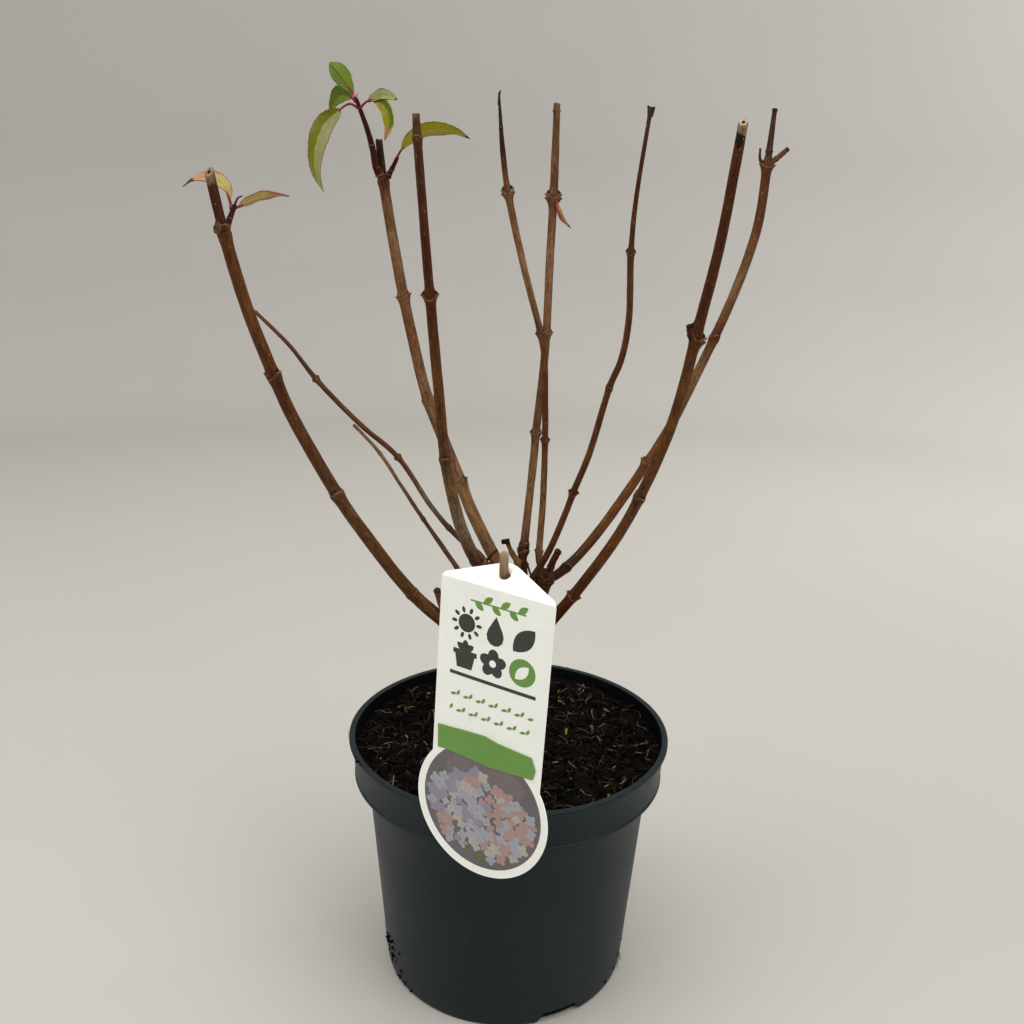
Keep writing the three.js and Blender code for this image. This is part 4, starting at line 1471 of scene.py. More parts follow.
class Spray:
    """A young shoot with its last leaves, in place of one CAD node."""

    RING_SPOTS = (3.2, 6.4, 21.0)

    def __init__(self, name: str, shoots: Sequence[tuple[Sequence[Point], Flat, LeafSkin]],
                 leaves: Sequence[Leaf], slot: str = "leaf") -> None:
        """Keeps what the spray is made of.

        Args:
            name: the CAD node that it stands for.
            shoots: the path, the radius at foot and tip, and the finish of each young shoot.
            leaves: its leaves.
            slot: not used.
        """
        self.name = name
        self.shoots = shoots
        self.leaves = leaves
        self.slot = slot
        self.skins: list[LeafSkin] = []

    def _number(self, skin: LeafSkin) -> int:
        """Returns the place of a skin among the piece's materials."""
        if skin not in self.skins:
            self.skins.append(skin)
        return self.skins.index(skin)

    def build(self) -> None:
        """Makes the spray's piece in place of its node."""
        mesh = bmesh.new()
        for path, radius, skin in self.shoots:
            self._tube(mesh, path, radius, skin, rings=skin is SHOOT)
        for leaf in self.leaves:
            self._tube(mesh, leaf.stalk, Leaf.STALK_RADIUS, PETIOLE)
            self._blade(mesh, leaf)
        piece = set_down(mesh, f"{self.name}_leaves", [skin.name for skin in self.skins])
        hand_over(piece, self.name)

    def _tube(self, mesh: Mesh, path: Sequence[Point], radius: Flat, skin: LeafSkin,
              rings: bool = False) -> None:
        """Adds a round stalk or shoot with a rounded tip.

        Args:
            mesh: the mesh that gains it.
            path: its middle line.
            radius: its radius at the foot and at the tip.
            skin: its finish.
            rings: whether it has pale rings where buds once stood.
        """
        course = Course(path)
        foot, tip = radius
        steps = max(6, round(course.length / 0.9))
        stations = [(course.length * step / steps, 0.0, 1.0) for step in range(steps + 1)]
        stations += [(course.length, tip * rise, share) for rise, share in Limb.DOME_STEPS]
        frames = course.frames(stations, Vector((0.31, 0.77, 0.56)))

        def shape(corner: Corner, angle: float, row: int) -> None:
            """Sets one vertex of the tube down."""
            distance, _, share = stations[row]
            middle, side, third, _ = frames[row]
            plain = foot + (tip - foot) * distance / course.length
            lumpy = 1 + 0.05 * noise.noise(Vector((math.cos(angle), math.sin(angle), distance * 0.4)))
            collar = 0.3 * bell(distance - 0.6, 1.4)
            swell = sum(0.16 * bell(distance - spot, 0.7) for spot in self.RING_SPOTS) if rings else 0.0
            outward = side * math.cos(angle) + third * math.sin(angle)
            corner.co = middle + outward * plain * share * (lumpy + collar + swell)

        before = set(mesh.faces)
        rolled(mesh, 12, len(stations) - 1, shape)
        number = self._number(skin)
        ring_number = self._number(PALE_RING) if rings else number
        for face in set(mesh.faces) - before:
            face.material_index = number
            middle = face.calc_center_median()
            height = (middle - course.points[0]).length
            if rings and any(abs(height - spot) < 0.3 for spot in self.RING_SPOTS):
                face.material_index = ring_number

    def _blade(self, mesh: Mesh, leaf: Leaf) -> None:
        """Adds a leaf's blade: a thin slab drawn in to its outline, folded, veined and waved.

        Args:
            mesh: the mesh that gains it.
            leaf: the leaf.
        """
        blade = bmesh.new()
        bmesh.ops.create_grid(blade, x_segments=Leaf.COLUMNS, y_segments=Leaf.ROWS, size=1.0)
        made = bmesh.ops.extrude_face_region(blade, geom=list(blade.faces))["geom"]
        lowered = [item for item in made if isinstance(item, Corner)]
        bmesh.ops.translate(blade, vec=(0, 0, -1), verts=lowered)
        bmesh.ops.recalc_face_normals(blade, faces=blade.faces)
        for face in blade.faces:
            middle = face.calc_center_median()
            tone = leaf.tones.at((middle.x + 1) / 2, middle.y, middle.z > -0.5)
            face.material_index = self._number(tone)
        course = Course(leaf.rib)
        side = Vector(leaf.side)
        lift = math.tan(math.radians(leaf.fold))
        for corner in blade.verts:
            share, across = (corner.co.x + 1) / 2, corner.co.y
            below = -corner.co.z
            distance = share * course.length
            along = course.heading(distance)
            width_way = square_to(side, along)
            up = along.cross(width_way)
            outline = math.sin(math.pi * min(1.0, share) ** leaf.lean) ** leaf.fullness if share < 1 else 0.0
            tooth = 1 + Leaf.TOOTH * abs(across) ** 6 * (2 * ((share * Leaf.TEETH) % 1.0) - 1)
            half = max(0.25, leaf.half_width * outline) * tooth
            y = across * half
            vein = math.cos(FULL_TURN * (share * Leaf.VEINS - abs(across) * 1.1))
            relief = 0.17 * vein * outline * (1 - abs(across)) - 0.3 * bell(across, 0.07)
            phase = FULL_TURN * share * 2.3 + (1.4 if across > 0 else 0)
            wave = leaf.wave * math.sin(phase) * across ** 2
            z = abs(y) * lift + (relief + wave) * outline - below * Leaf.THICKNESS
            if abs(across) < 0.05 and below > 0.5:
                z -= 0.25 * outline
            corner.co = course.point(distance) + width_way * y + up * z
        joined(mesh, blade)


def joined(mesh: Mesh, other: Mesh) -> None:
    """Adds one bmesh to another and frees it.

    Args:
        mesh: the mesh that gains the shapes.
        other: the mesh that is used up.
    """
    data = bpy.data.meshes.new("loose")
    other.to_mesh(data)
    other.free()
    mesh.from_mesh(data)
    bpy.data.meshes.remove(data)


HOOKED_LEAF = LeafTones(STRAW, OLIVE, CRIMSON, ORANGE, 0.5, DARK_TIP, end_from=0.8)
BLUSHED = LeafTones(STRAW, ORANGE, CRIMSON, ORANGE, 0.62, CRIMSON, ORANGE)
FRESH = LeafTones(BRIGHT, MID, MID, BRIGHT, 0.95, half=MID)
LONG_GREEN = LeafTones(PALE, RIB_PALE, CRIMSON, PALE, 0.86, half=LONG_UPPER)
FADING = LeafTones(PALE, RIB_PALE, DARK_TIP, RIB_PALE, 0.86, DARK_TIP)
TURNING = LeafTones(BRIGHT, RIB_PALE, OLIVE, ORANGE, 0.72, ORANGE, OLIVE)
SIDE_LEAF = LeafTones(OLIVE, RIB_PALE, BRIGHT, ORANGE, 0.86, DARK_TIP, BRIGHT)
DRY = LeafTones(RUSSET, STRAW, CRIMSON, ORANGE, 0.7, DARK_TIP, half=CRIMSON, end_from=0.86)

SPRAYS = [
    Spray(
        "leaf_spray_left",
        [
            ([(-164.6, -67.2, 355), (-162.3, -64.5, 362.3), (-160.6, -62.5, 367.2)], (1.8, 1.3), SHOOT),
            ([(-161.8, -62.5, 365.4), (-159.6, -63, 369.4), (-158.2, -63.6, 371.6), (-155.8, -64, 372.6)],
             (0.75, 0.4), HOOK),
        ],
        [
            Leaf(
                [(-162.3, -63, 365.6), (-163.2, -61, 368.8), (-165.4, -58.8, 374.5)],
                [(-163.2, -61, 368.8), (-166.4, -58, 376.9), (-172, -56, 381.2), (-179, -57, 382.4),
                 (-184.7, -59, 380.7), (-189.2, -62, 377.1)],
                (0.15, -0.8, -0.6), 5.6, 12, HOOKED_LEAF, 0.78, 0.7, 1.5,
            ),
            Leaf(
                [(-161.6, -62.5, 366), (-159.4, -60.8, 366.7), (-157, -59.2, 368.2)],
                [(-159.4, -60.8, 366.3), (-153.7, -57, 370.3), (-147.4, -52, 372.7), (-140.3, -48, 373.9),
                 (-133, -46, 373.4)],
                (0.3, 0.75, -0.45), 3.4, 12, BLUSHED,
            ),
        ],
    ),
    Spray(
        "leaf_spray_top",
        [
            ([(-100.6, 108, 390.5), (-103, 106, 396), (-105.3, 105, 408.7), (-108.8, 103, 421.8),
              (-112.8, 101, 433.3), (-115.8, 100, 441.6)], (2.7, 1.3), SHOOT),
            ([(-115.6, 100, 441), (-116.4, 99.4, 443), (-116.6, 99, 444.6)], (0.9, 0.5), PINK_BUD),
            ([(-115.2, 100, 441), (-114.6, 99, 443), (-113.8, 98.6, 444.2)], (0.8, 0.4), PINK_BUD),
        ],
        [
            Leaf(
                [(-114, 101, 434.6), (-119.5, 98, 436.9), (-124.6, 95, 434), (-126.4, 93.8, 432)],
                [(-125.4, 94.5, 433), (-134.5, 87, 423.9), (-139, 80, 413), (-140.6, 74, 400.4),
                 (-139.3, 71, 388.7), (-134.2, 70, 377.4)],
                (0.85, 0.5, 0.1), 6.8, 18, LONG_GREEN, 0.68, 0.8,
            ),
            Leaf(
                [(-116, 100, 440), (-117.6, 100.4, 444), (-121.4, 102.4, 449.4)],
                [(-116.8, 100, 442.9), (-122.7, 103, 451.2), (-128.7, 107, 458.3), (-135.3, 112, 464.6)],
                (0.8, -0.2, 0.5), 6.4, 12, FRESH, 1.35, 0.4, 0.6,
            ),
            Leaf(
                [(-115.8, 100.2, 438.6), (-118, 101, 440.6), (-119.6, 102, 441.6)],
                [(-118.4, 101, 441.3), (-124.7, 106, 443.7), (-131, 112, 442.5), (-136.8, 117, 433.6)],
                (0.35, -0.45, -0.8), 6.5, 10, FRESH, 1.0, 0.4, 0.6,
            ),
            Leaf(
                [(-113.7, 101, 433.4), (-109.6, 97, 437), (-106.8, 95, 438.7), (-105, 94.2, 439.2)],
                [(-106.6, 96, 439.4), (-98.9, 90.4, 442), (-91.4, 85.6, 441.5), (-85, 82, 438.8)],
                (-0.1, 0.6, 0.8), 4.4, 10, FADING, 0.8, 0.6, 0.7,
            ),
            Leaf(
                [(-105.7, 94, 438.8), (-102.6, 92, 439.2), (-98.4, 89.4, 438.6)],
                [(-102.6, 92, 438.8), (-96.7, 88, 437.3), (-91.7, 86, 431.1), (-91.3, 87, 422.2),
                 (-94.9, 90, 412.6)],
                (0.8, -0.5, 0.25), 4.9, 14, TURNING,
            ),
        ],
    ),
    Spray(
        "leaf_spray_side",
        [([(-95, 107, 389.5), (-90.8, 104.6, 396.5), (-87.6, 102, 402.2)], (2, 1.3), SHOOT)],
        [
            Leaf(
                [(-88.6, 102.8, 400.4), (-85.9, 100.5, 405.4), (-83.6, 99.5, 408.4), (-82, 99, 410.2)],
                [(-84.5, 99.5, 407.3), (-77.7, 98, 414.3), (-69.8, 97, 419.3), (-59.8, 97.5, 420.9),
                 (-48, 99.5, 420.8), (-36.3, 103, 416.3)],
                (0.1, 0.75, -0.6), 6.8, 12, SIDE_LEAF,
            ),
        ],
    ),
    Spray(
        "dry_leaf",
        [],
        [
            Leaf(
                [(23, 80.6, 378), (24.6, 79, 376), (25.6, 78, 374.4)],
                [(25.2, 78, 375), (27, 76, 369), (30, 75, 363), (35.6, 74.4, 357.3)],
                (0.85, -0.3, 0.42), 1.8, 20, DRY,
            ),
        ],
        "dry_leaf",
    ),
]


# The pot and what is in it.


@dataclass
class NurseryPot:
    """A tapered cup with a deep rim band, a thin lip and drain notches.

    Attributes:
        height, base_radius, wall, floor: the cup's own sizes.
        body_top_radius: the body's radius where the band starts.
        band_height, band_bottom_radius, band_top_radius: the sizes of the band.
        lip_radius, lip_height: the sizes of the lip.
        notch_width, notch_height, notch_depth: the sizes of a drain notch.
        notch_narrowing: how much narrower it is at its top, against its width.
        notch_angle: where the first one is, in degrees.
        notches: how many there are.
        sides: how many sides the round has.
    """

    height: float = 180.5
    base_radius: float = 88.0
    body_top_radius: float = 100.4
    wall: float = 1.8
    floor: float = 2.4
    band_height: float = 28.5
    band_bottom_radius: float = 109.0
    band_top_radius: float = 110.8
    lip_radius: float = 113.2
    lip_height: float = 2.6
    notch_width: float = 35.0
    notch_narrowing: float = 0.34
    notch_height: float = 8.0
    notch_depth: float = 13.0
    notch_angle: float = -63.5
    notches: int = 3
    sides: int = 160

    @property
    def slope(self) -> float:
        """Returns how much the body's radius grows with its height."""
        return (self.body_top_radius - self.base_radius) / (self.height - self.band_height)

    def inside(self) -> list[Flat]:
        """Lists the corners of the inner wall's profile.

        Returns:
            Their radius and height, from the floor up.
        """
        bottom = self.height - self.band_height
        return [
            (self.base_radius - self.wall, self.floor),
            (self.body_top_radius - self.wall, bottom),
            (self.band_bottom_radius - self.wall, bottom + 2),
            (self.band_top_radius - self.wall, self.height),
        ]

    def outside(self) -> list[Flat]:
        """Lists the corners of the outer wall's profile.

        Returns:
            Their radius and height, from the underside up.
        """
        bottom = self.height - self.band_height
        return [
            (self.base_radius - 2.0, 0),
            (self.base_radius - 0.6, 0.5),
            (self.base_radius - 0.1, 1.9),
            *((self.base_radius + self.slope * height, height) for height in (12, 40, 75, 110)),
            (self.body_top_radius, bottom - 0.6),
            (self.band_bottom_radius + 0.7, bottom - 0.4),
            (self.band_bottom_radius + 0.7, bottom + 1.3),
            (self.band_bottom_radius + 0.1, bottom + 1.9),
            (self.band_top_radius, self.height - self.lip_height),
            (self.lip_radius, self.height - self.lip_height + 0.5),
            (self.lip_radius, self.height),
        ]

    def outer_radius(self, height: float) -> float:
        """Returns the outer wall's radius at a height."""
        outside = self.outside()
        return float(np.interp(height, [z for _, z in outside], [r for r, _ in outside]))

    def inner_radius(self, height: float) -> float:
        """Returns the inner wall's radius at a height."""
        inside = self.inside()
        return float(np.interp(height, [z for _, z in inside], [r for r, _ in inside]))

    def build(self) -> None:
        """Makes the pot's piece in place of its node."""
        profile = [(0.0, 0.0), *self.outside(), *reversed(self.inside()), (0.0, self.floor)]
        mesh = turned(profile, self.sides)
        mesh.normal_update()
        sharp = [edge for edge in mesh.edges
                 if len(edge.link_faces) == 2 and edge.calc_face_angle(0.0) > math.radians(24)]
        bmesh.ops.bevel(mesh, geom=sharp, offset=0.35, segments=2, profile=0.5, affect="EDGES",
                        material=-1)
        pot = set_down(mesh, "pot_shell", lift=0.0)
        carved(pot, [self._notch(index) for index in range(self.notches)])
        dressed(pot.data, ["pot_plastic", "pot_inside_painted_shade"], 35)
        # The inner wall takes the darker finish: painted shade inside the pot below the rim.
        for face in pot.data.polygons:
            height = face.center.z / METRES
            reach = math.hypot(face.center.x, face.center.y) / METRES
            inner = self.floor + 1 < height < self.height - 1.2 and reach < self.inner_radius(height) + 0.5
            face.material_index = 1 if inner else 0
        hand_over(pot, "pot")

    def _notch(self, index: int) -> Piece:
        """Makes the cutter of one drain notch, wider at the floor than at its top.

        Args:
            index: the notch's number round the pot.

        Returns:
            The cutter.
        """
        mesh = bmesh.new()
        bmesh.ops.create_cube(mesh, size=1.0)
        bmesh.ops.scale(mesh, vec=(2 * self.notch_depth, self.notch_width, 2 * self.notch_height),
                        verts=mesh.verts)
        for corner in mesh.verts:
            corner.co.y *= 1 - self.notch_narrowing * corner.co.z / self.notch_height
        turn = math.radians(self.notch_angle + 360 * index / self.notches)
        bmesh.ops.translate(mesh, vec=(self.base_radius, 0, 0), verts=mesh.verts)
        bmesh.ops.rotate(mesh, cent=(0, 0, 0), matrix=Matrix.Rotation(turn, 3, "Z"), verts=mesh.verts)
        return set_down(mesh, "notch", lift=0.0)


def strewn(name: str, kinds: Sequence[tuple[np.ndarray, np.ndarray]],
           placings: Sequence[tuple[int, Matrix, int]], finishes: Sequence[str]) -> Piece:
    """Joins many small shapes into one piece.

    Args:
        name: the piece's name.
        kinds: the corners and triangles of each kind of small shape, in millimetres.
        placings: for each small shape its kind, its matrix and its material's number.
        finishes: the names of the piece's finishes.

    Returns:
        The joined piece, in metres.
    """
    corners, triangles, numbers, count = [], [], [], 0
    for kind, matrix, number in placings:
        points, faces = kinds[kind]
        spread = np.array(matrix.to_3x3())
        shift = np.array(matrix.translation)
        corners.append((points @ spread.T + shift) * METRES)
        triangles.append(faces + count)
        numbers.append(np.full(len(faces), number, np.int32))
        count += len(points)
    all_corners, all_triangles = np.concatenate(corners), np.concatenate(triangles)
    data = bpy.data.meshes.new(name)
    data.from_pydata(all_corners.tolist(), [], all_triangles.tolist())
    data.polygons.foreach_set("material_index", np.concatenate(numbers))
    return placed(data, name, finishes, STREWN_CREASE)


def arrays_of(mesh: Mesh) -> tuple[np.ndarray, np.ndarray]:
    """Turns a bmesh of a small shape into arrays and frees it.

    Args:
        mesh: the shape, in any faces.

    Returns:
        Its corners and its triangles.
    """
    bmesh.ops.triangulate(mesh, faces=mesh.faces)
    bmesh.ops.recalc_face_normals(mesh, faces=mesh.faces)
    mesh.verts.index_update()
    points = np.array([corner.co[:] for corner in mesh.verts])
    faces = np.array([[corner.index for corner in face.verts] for face in mesh.faces])
    mesh.free()
    return points, faces


@dataclass
class Compost:
    """The compost: a lumpy bed, with crumbs, bark chips and root fibres strewn on it.

    SPLASHES has the angle, height, spread and count of crumbs of each splash of mud on the pot,
    and HAIRS the angle, height and length of each fine root that clings to it.
    """

    pot: NurseryPot
    edge_rise: float = 2.8
    seed: int = 11
    crumbs: int = 4600
    chips: int = 1700
    fibres: int = 1400

    SPLASHES = ((203, 22, 6, 90), (212, 8, 7, 50), (-24, 12, 4, 14), (205, 180, 5, 16), (66, 180, 4, 10))
    HAIRS = ((-16, 14, 20), (-21, 9, 14), (206, 14, 12), (178, 178, 9), (186, 179, 7))

    def height_at(self, x: float, y: float) -> float:
        """Works out the bed's height.

        Args:
            x, y: the place on the bed, from the pot's axis.

        Returns:
            The height above the level of the stem's foot.
        """
        radius = math.hypot(x, y)
        bowl = 2.9 * max(0.0, (radius - 60) / 50) ** 1.5 - 0.8 * bell(radius - 60, 30)
        lumps = noise.noise(Vector((x * 0.06, y * 0.06, 3))) * 1.8
        lumps += noise.noise(Vector((x * 0.19, y * 0.19, 8))) * 1.3
        lumps += noise.noise(Vector((x * 0.5, y * 0.5, 1))) * 0.8
        back = 2.6 * max(0.0, y / 110) ** 2 * min(1.0, radius / 100)
        return bowl + back + lumps * min(1.0, 0.35 + radius / 40)

    def build(self) -> None:
        """Makes the bed and everything strewn on it."""
        self._bed()
        self._crumbs()
        self._fibres()

    def _bed(self) -> None:
        """Makes the bed in place of its node."""
        edge = SOIL_LEVEL + self.edge_rise
        wall = [(radius - 0.3, height) for radius, height in self.pot.inside() if height < edge]
        rim = self.pot.inner_radius(edge) - 0.3
        top = [(rim * step / 42, edge) for step in range(42, 0, -1)]
        foot, *side = wall
        bottom = [(0, foot[1] + 0.3), (foot[0], foot[1] + 0.3)]
        mesh = turned([*bottom, *side, *top, (0, edge)], 132)
        for corner in mesh.verts:
            if corner.co.z > edge - 0.1:
                corner.co.z = SOIL_LEVEL + self.height_at(corner.co.x, corner.co.y) - 0.4
        bed = set_down(mesh, "compost_bed", ["compost_dark"], lift=0.0, crease=180)
        hand_over(bed, "compost")

    def _spot(self, rng: random.Random, margin: float) -> Flat:
        """Picks a random place on the bed.

        Args:
            rng: the source of chance.
            margin: how far inside the rim it is at least.

        Returns:
            The place, from the pot's axis.
        """
        radius = (self.pot.band_top_radius - margin) * math.sqrt(rng.random())
        angle = rng.uniform(0, FULL_TURN)
        return radius * math.cos(angle), radius * math.sin(angle)

    def _crumbs(self) -> None:
        """Strews crumbs of earth and chips of bark."""
        rng = random.Random(self.seed)
        kinds = [self._lump(rng, subdivisions) for subdivisions in (1, 1, 1, 2, 2, 2)]
        kinds += [self._chip(rng) for _ in range(6)]
        crumbs, chips = [], []
        for _ in range(self.crumbs):
            size = min(5.2, 0.55 * rng.paretovariate(1.7))
            x, y = self._spot(rng, 3.2 + 1.6 * size)
            kind = rng.randrange(3) if size < 1.6 else rng.randrange(3, 6)
            z = SOIL_LEVEL + self.height_at(x, y) + size * rng.uniform(-0.25, 0.45)
            tone = rng.choices((0, 1, 2), (8, 4, 0.5))[0]
            scale = (size, size * rng.uniform(0.5, 1), size * rng.uniform(0.4, 0.8))
            crumbs.append((kind, self._pose(rng, (x, y, z), scale, 3.14), tone))
        for _ in range(self.chips):
            x, y = self._spot(rng, 7.0)
            length = rng.uniform(1.6, 7.4)
            width = length * rng.uniform(0.12, 0.34)
            z = SOIL_LEVEL + self.height_at(x, y) + rng.uniform(0.3, 2.4)
            tone = rng.choices((0, 1, 2, 3, 4), (9, 9, 6, 1.1, 0.35))[0]
            kind = rng.randrange(6, 12)
            chips.append((kind, self._pose(rng, (x, y, z), (length, width, 1.0), 0.8), tone))
        for angle, height, spread, count in self.SPLASHES:
            for _ in range(count):
                turn = math.radians(angle + rng.gauss(0, spread))
                z = max(2.2, height + rng.gauss(0, spread * 0.9))
                reach = self.pot.outer_radius(z) + 0.1
                size = min(1.5, 0.35 * rng.paretovariate(1.9))
                spot = (reach * math.cos(turn), reach * math.sin(turn), min(z, self.pot.height))
                scale = (size, size * 0.8, size * 0.7)
                crumbs.append((rng.randrange(3), self._pose(rng, spot, scale, 3.14), 0))
        tones = ["compost_dark", "compost_brown", "bark_chip", "chip_pale", "chip_green"]
        for name, placings in (("compost_crumbs", crumbs), ("compost_chips", chips)):
            hand_over(strewn(name, kinds, placings, tones))

    def _fibres(self) -> None:
        """Strews fine curved roots and straws."""
        rng = random.Random(self.seed + 1)
        kinds = [self._fibre(rng) for _ in range(14)]
        placings = []
        for _ in range(self.fibres):
            x, y = self._spot(rng, 6.5)
            length = rng.uniform(2.5, 14.0)
            z = SOIL_LEVEL + self.height_at(x, y) + rng.uniform(0.4, 2.8)
            tone = rng.choices((0, 1, 2), (8, 5, 1.6))[0]
            scale = (length, length * 0.8, length * 0.45)
            placings.append((rng.randrange(14), self._pose(rng, (x, y, z), scale, 0.5), tone))
        upright = Matrix.Rotation(-math.pi / 2, 4, "Y")
        for angle, height, length in self.HAIRS:
            turn = math.radians(angle)
            reach = self.pot.outer_radius(height) + 1.0
            spot = Matrix.Translation((reach * math.cos(turn), reach * math.sin(turn), height))
            size = Matrix.Diagonal((length, length * 0.5, length * 0.5, 1.0))
            placings.append((rng.randrange(14), spot @ Matrix.Rotation(turn, 4, "Z") @ upright @ size, 1))
        piece = strewn("compost_fibres", kinds, placings, ["fibre_red", "fibre_tan", "fibre_pale"])
        hand_over(piece)

    @staticmethod
    def _pose(rng: random.Random, spot: Point, scale: Point, tilt: float) -> Matrix:
        """Puts a small thing down: scaled, tilted, turned and moved.

        Args:
            rng: the source of chance.
            spot: where it lies.
            scale: its size along each axis.
            tilt: the largest angle by which it leans.

        Returns:
            Its matrix.
        """
        turn = Matrix.Rotation(rng.uniform(0, FULL_TURN), 4, "Z")
        nod = Matrix.Rotation(rng.uniform(-tilt, tilt), 4, "X")
        lean = Matrix.Rotation(rng.uniform(-tilt, tilt), 4, "Y")
        return Matrix.Translation(spot) @ turn @ nod @ lean @ Matrix.Diagonal((*scale, 1.0))

    @staticmethod
    def _lump(rng: random.Random, subdivisions: int) -> tuple[np.ndarray, np.ndarray]:
        """Makes a knobbly ball of earth of radius 1.

        Args:
            rng: the source of chance.
            subdivisions: how fine the ball is.

        Returns:
            Its corners and its triangles.
        """
        mesh = bmesh.new()
        bmesh.ops.create_icosphere(mesh, subdivisions=subdivisions, radius=1.0)
        seed = Vector((rng.uniform(0, 50), rng.uniform(0, 50), 0))
        for corner in mesh.verts:
            corner.co *= 1 + 0.85 * noise.noise(corner.co * 1.9 + seed)
        return arrays_of(mesh)

    @staticmethod
    def _chip(rng: random.Random) -> tuple[np.ndarray, np.ndarray]:
        """Makes a splinter of bark of half length 1.

        Args:
            rng: the source of chance.

        Returns:
            Its corners and its triangles.
        """
        mesh = bmesh.new()
        bmesh.ops.create_cube(mesh, size=1.0)
        bmesh.ops.subdivide_edges(mesh, edges=mesh.edges, cuts=1, use_grid_fill=True)
        for corner in mesh.verts:
            corner.co *= 1 + rng.uniform(-0.3, 0.3)
            corner.co.z += 0.5 * corner.co.x ** 2
        return arrays_of(mesh)

    @staticmethod
    def _fibre(rng: random.Random) -> tuple[np.ndarray, np.ndarray]:
        """Makes a thin curved root, 1 long.

        Args:
            rng: the source of chance.

        Returns:
            Its corners and its triangles.
        """
        bend, wiggle = rng.uniform(-0.35, 0.35), rng.uniform(-0.12, 0.12)
        course = Course([
            (-0.5, 0, 0), (-0.2, bend * 0.7, rng.uniform(-0.1, 0.2)),
            (0.2, bend + wiggle, rng.uniform(-0.1, 0.2)), (0.5, bend * 0.3, rng.uniform(-0.2, 0.1)),
        ])
        thick = rng.uniform(0.014, 0.032)
        steps = 8
        mesh = bmesh.new()

        def shape(corner: Corner, angle: float, row: int) -> None:
            """Sets one vertex of the root down."""
            distance = course.length * row / steps
            along = course.heading(distance)
            side = square_to(Vector((0, 0.2, 1)), along)
            radius = thick * (0.5 if row in (0, steps) else 1.0)
            outward = side * math.cos(angle) + side.cross(along) * math.sin(angle)
            corner.co = course.point(distance) + outward * radius

        rolled(mesh, 5, steps, shape)
        return arrays_of(mesh)


# The card label.


class Ink(Enum):
    """The inks of the label's print, by their finishes."""

    BLACK = "print_black"
    GREEN = "print_green"
    WHITE = "card_white"
    GROUND = "picture_ground"
    PALE = "floret_pale"
    LILAC = "floret_lilac"
    CREAM = "floret_cream"
    PINK = "floret_pink"
    LEAFY = "picture_green"
    HAZE = "picture_haze"


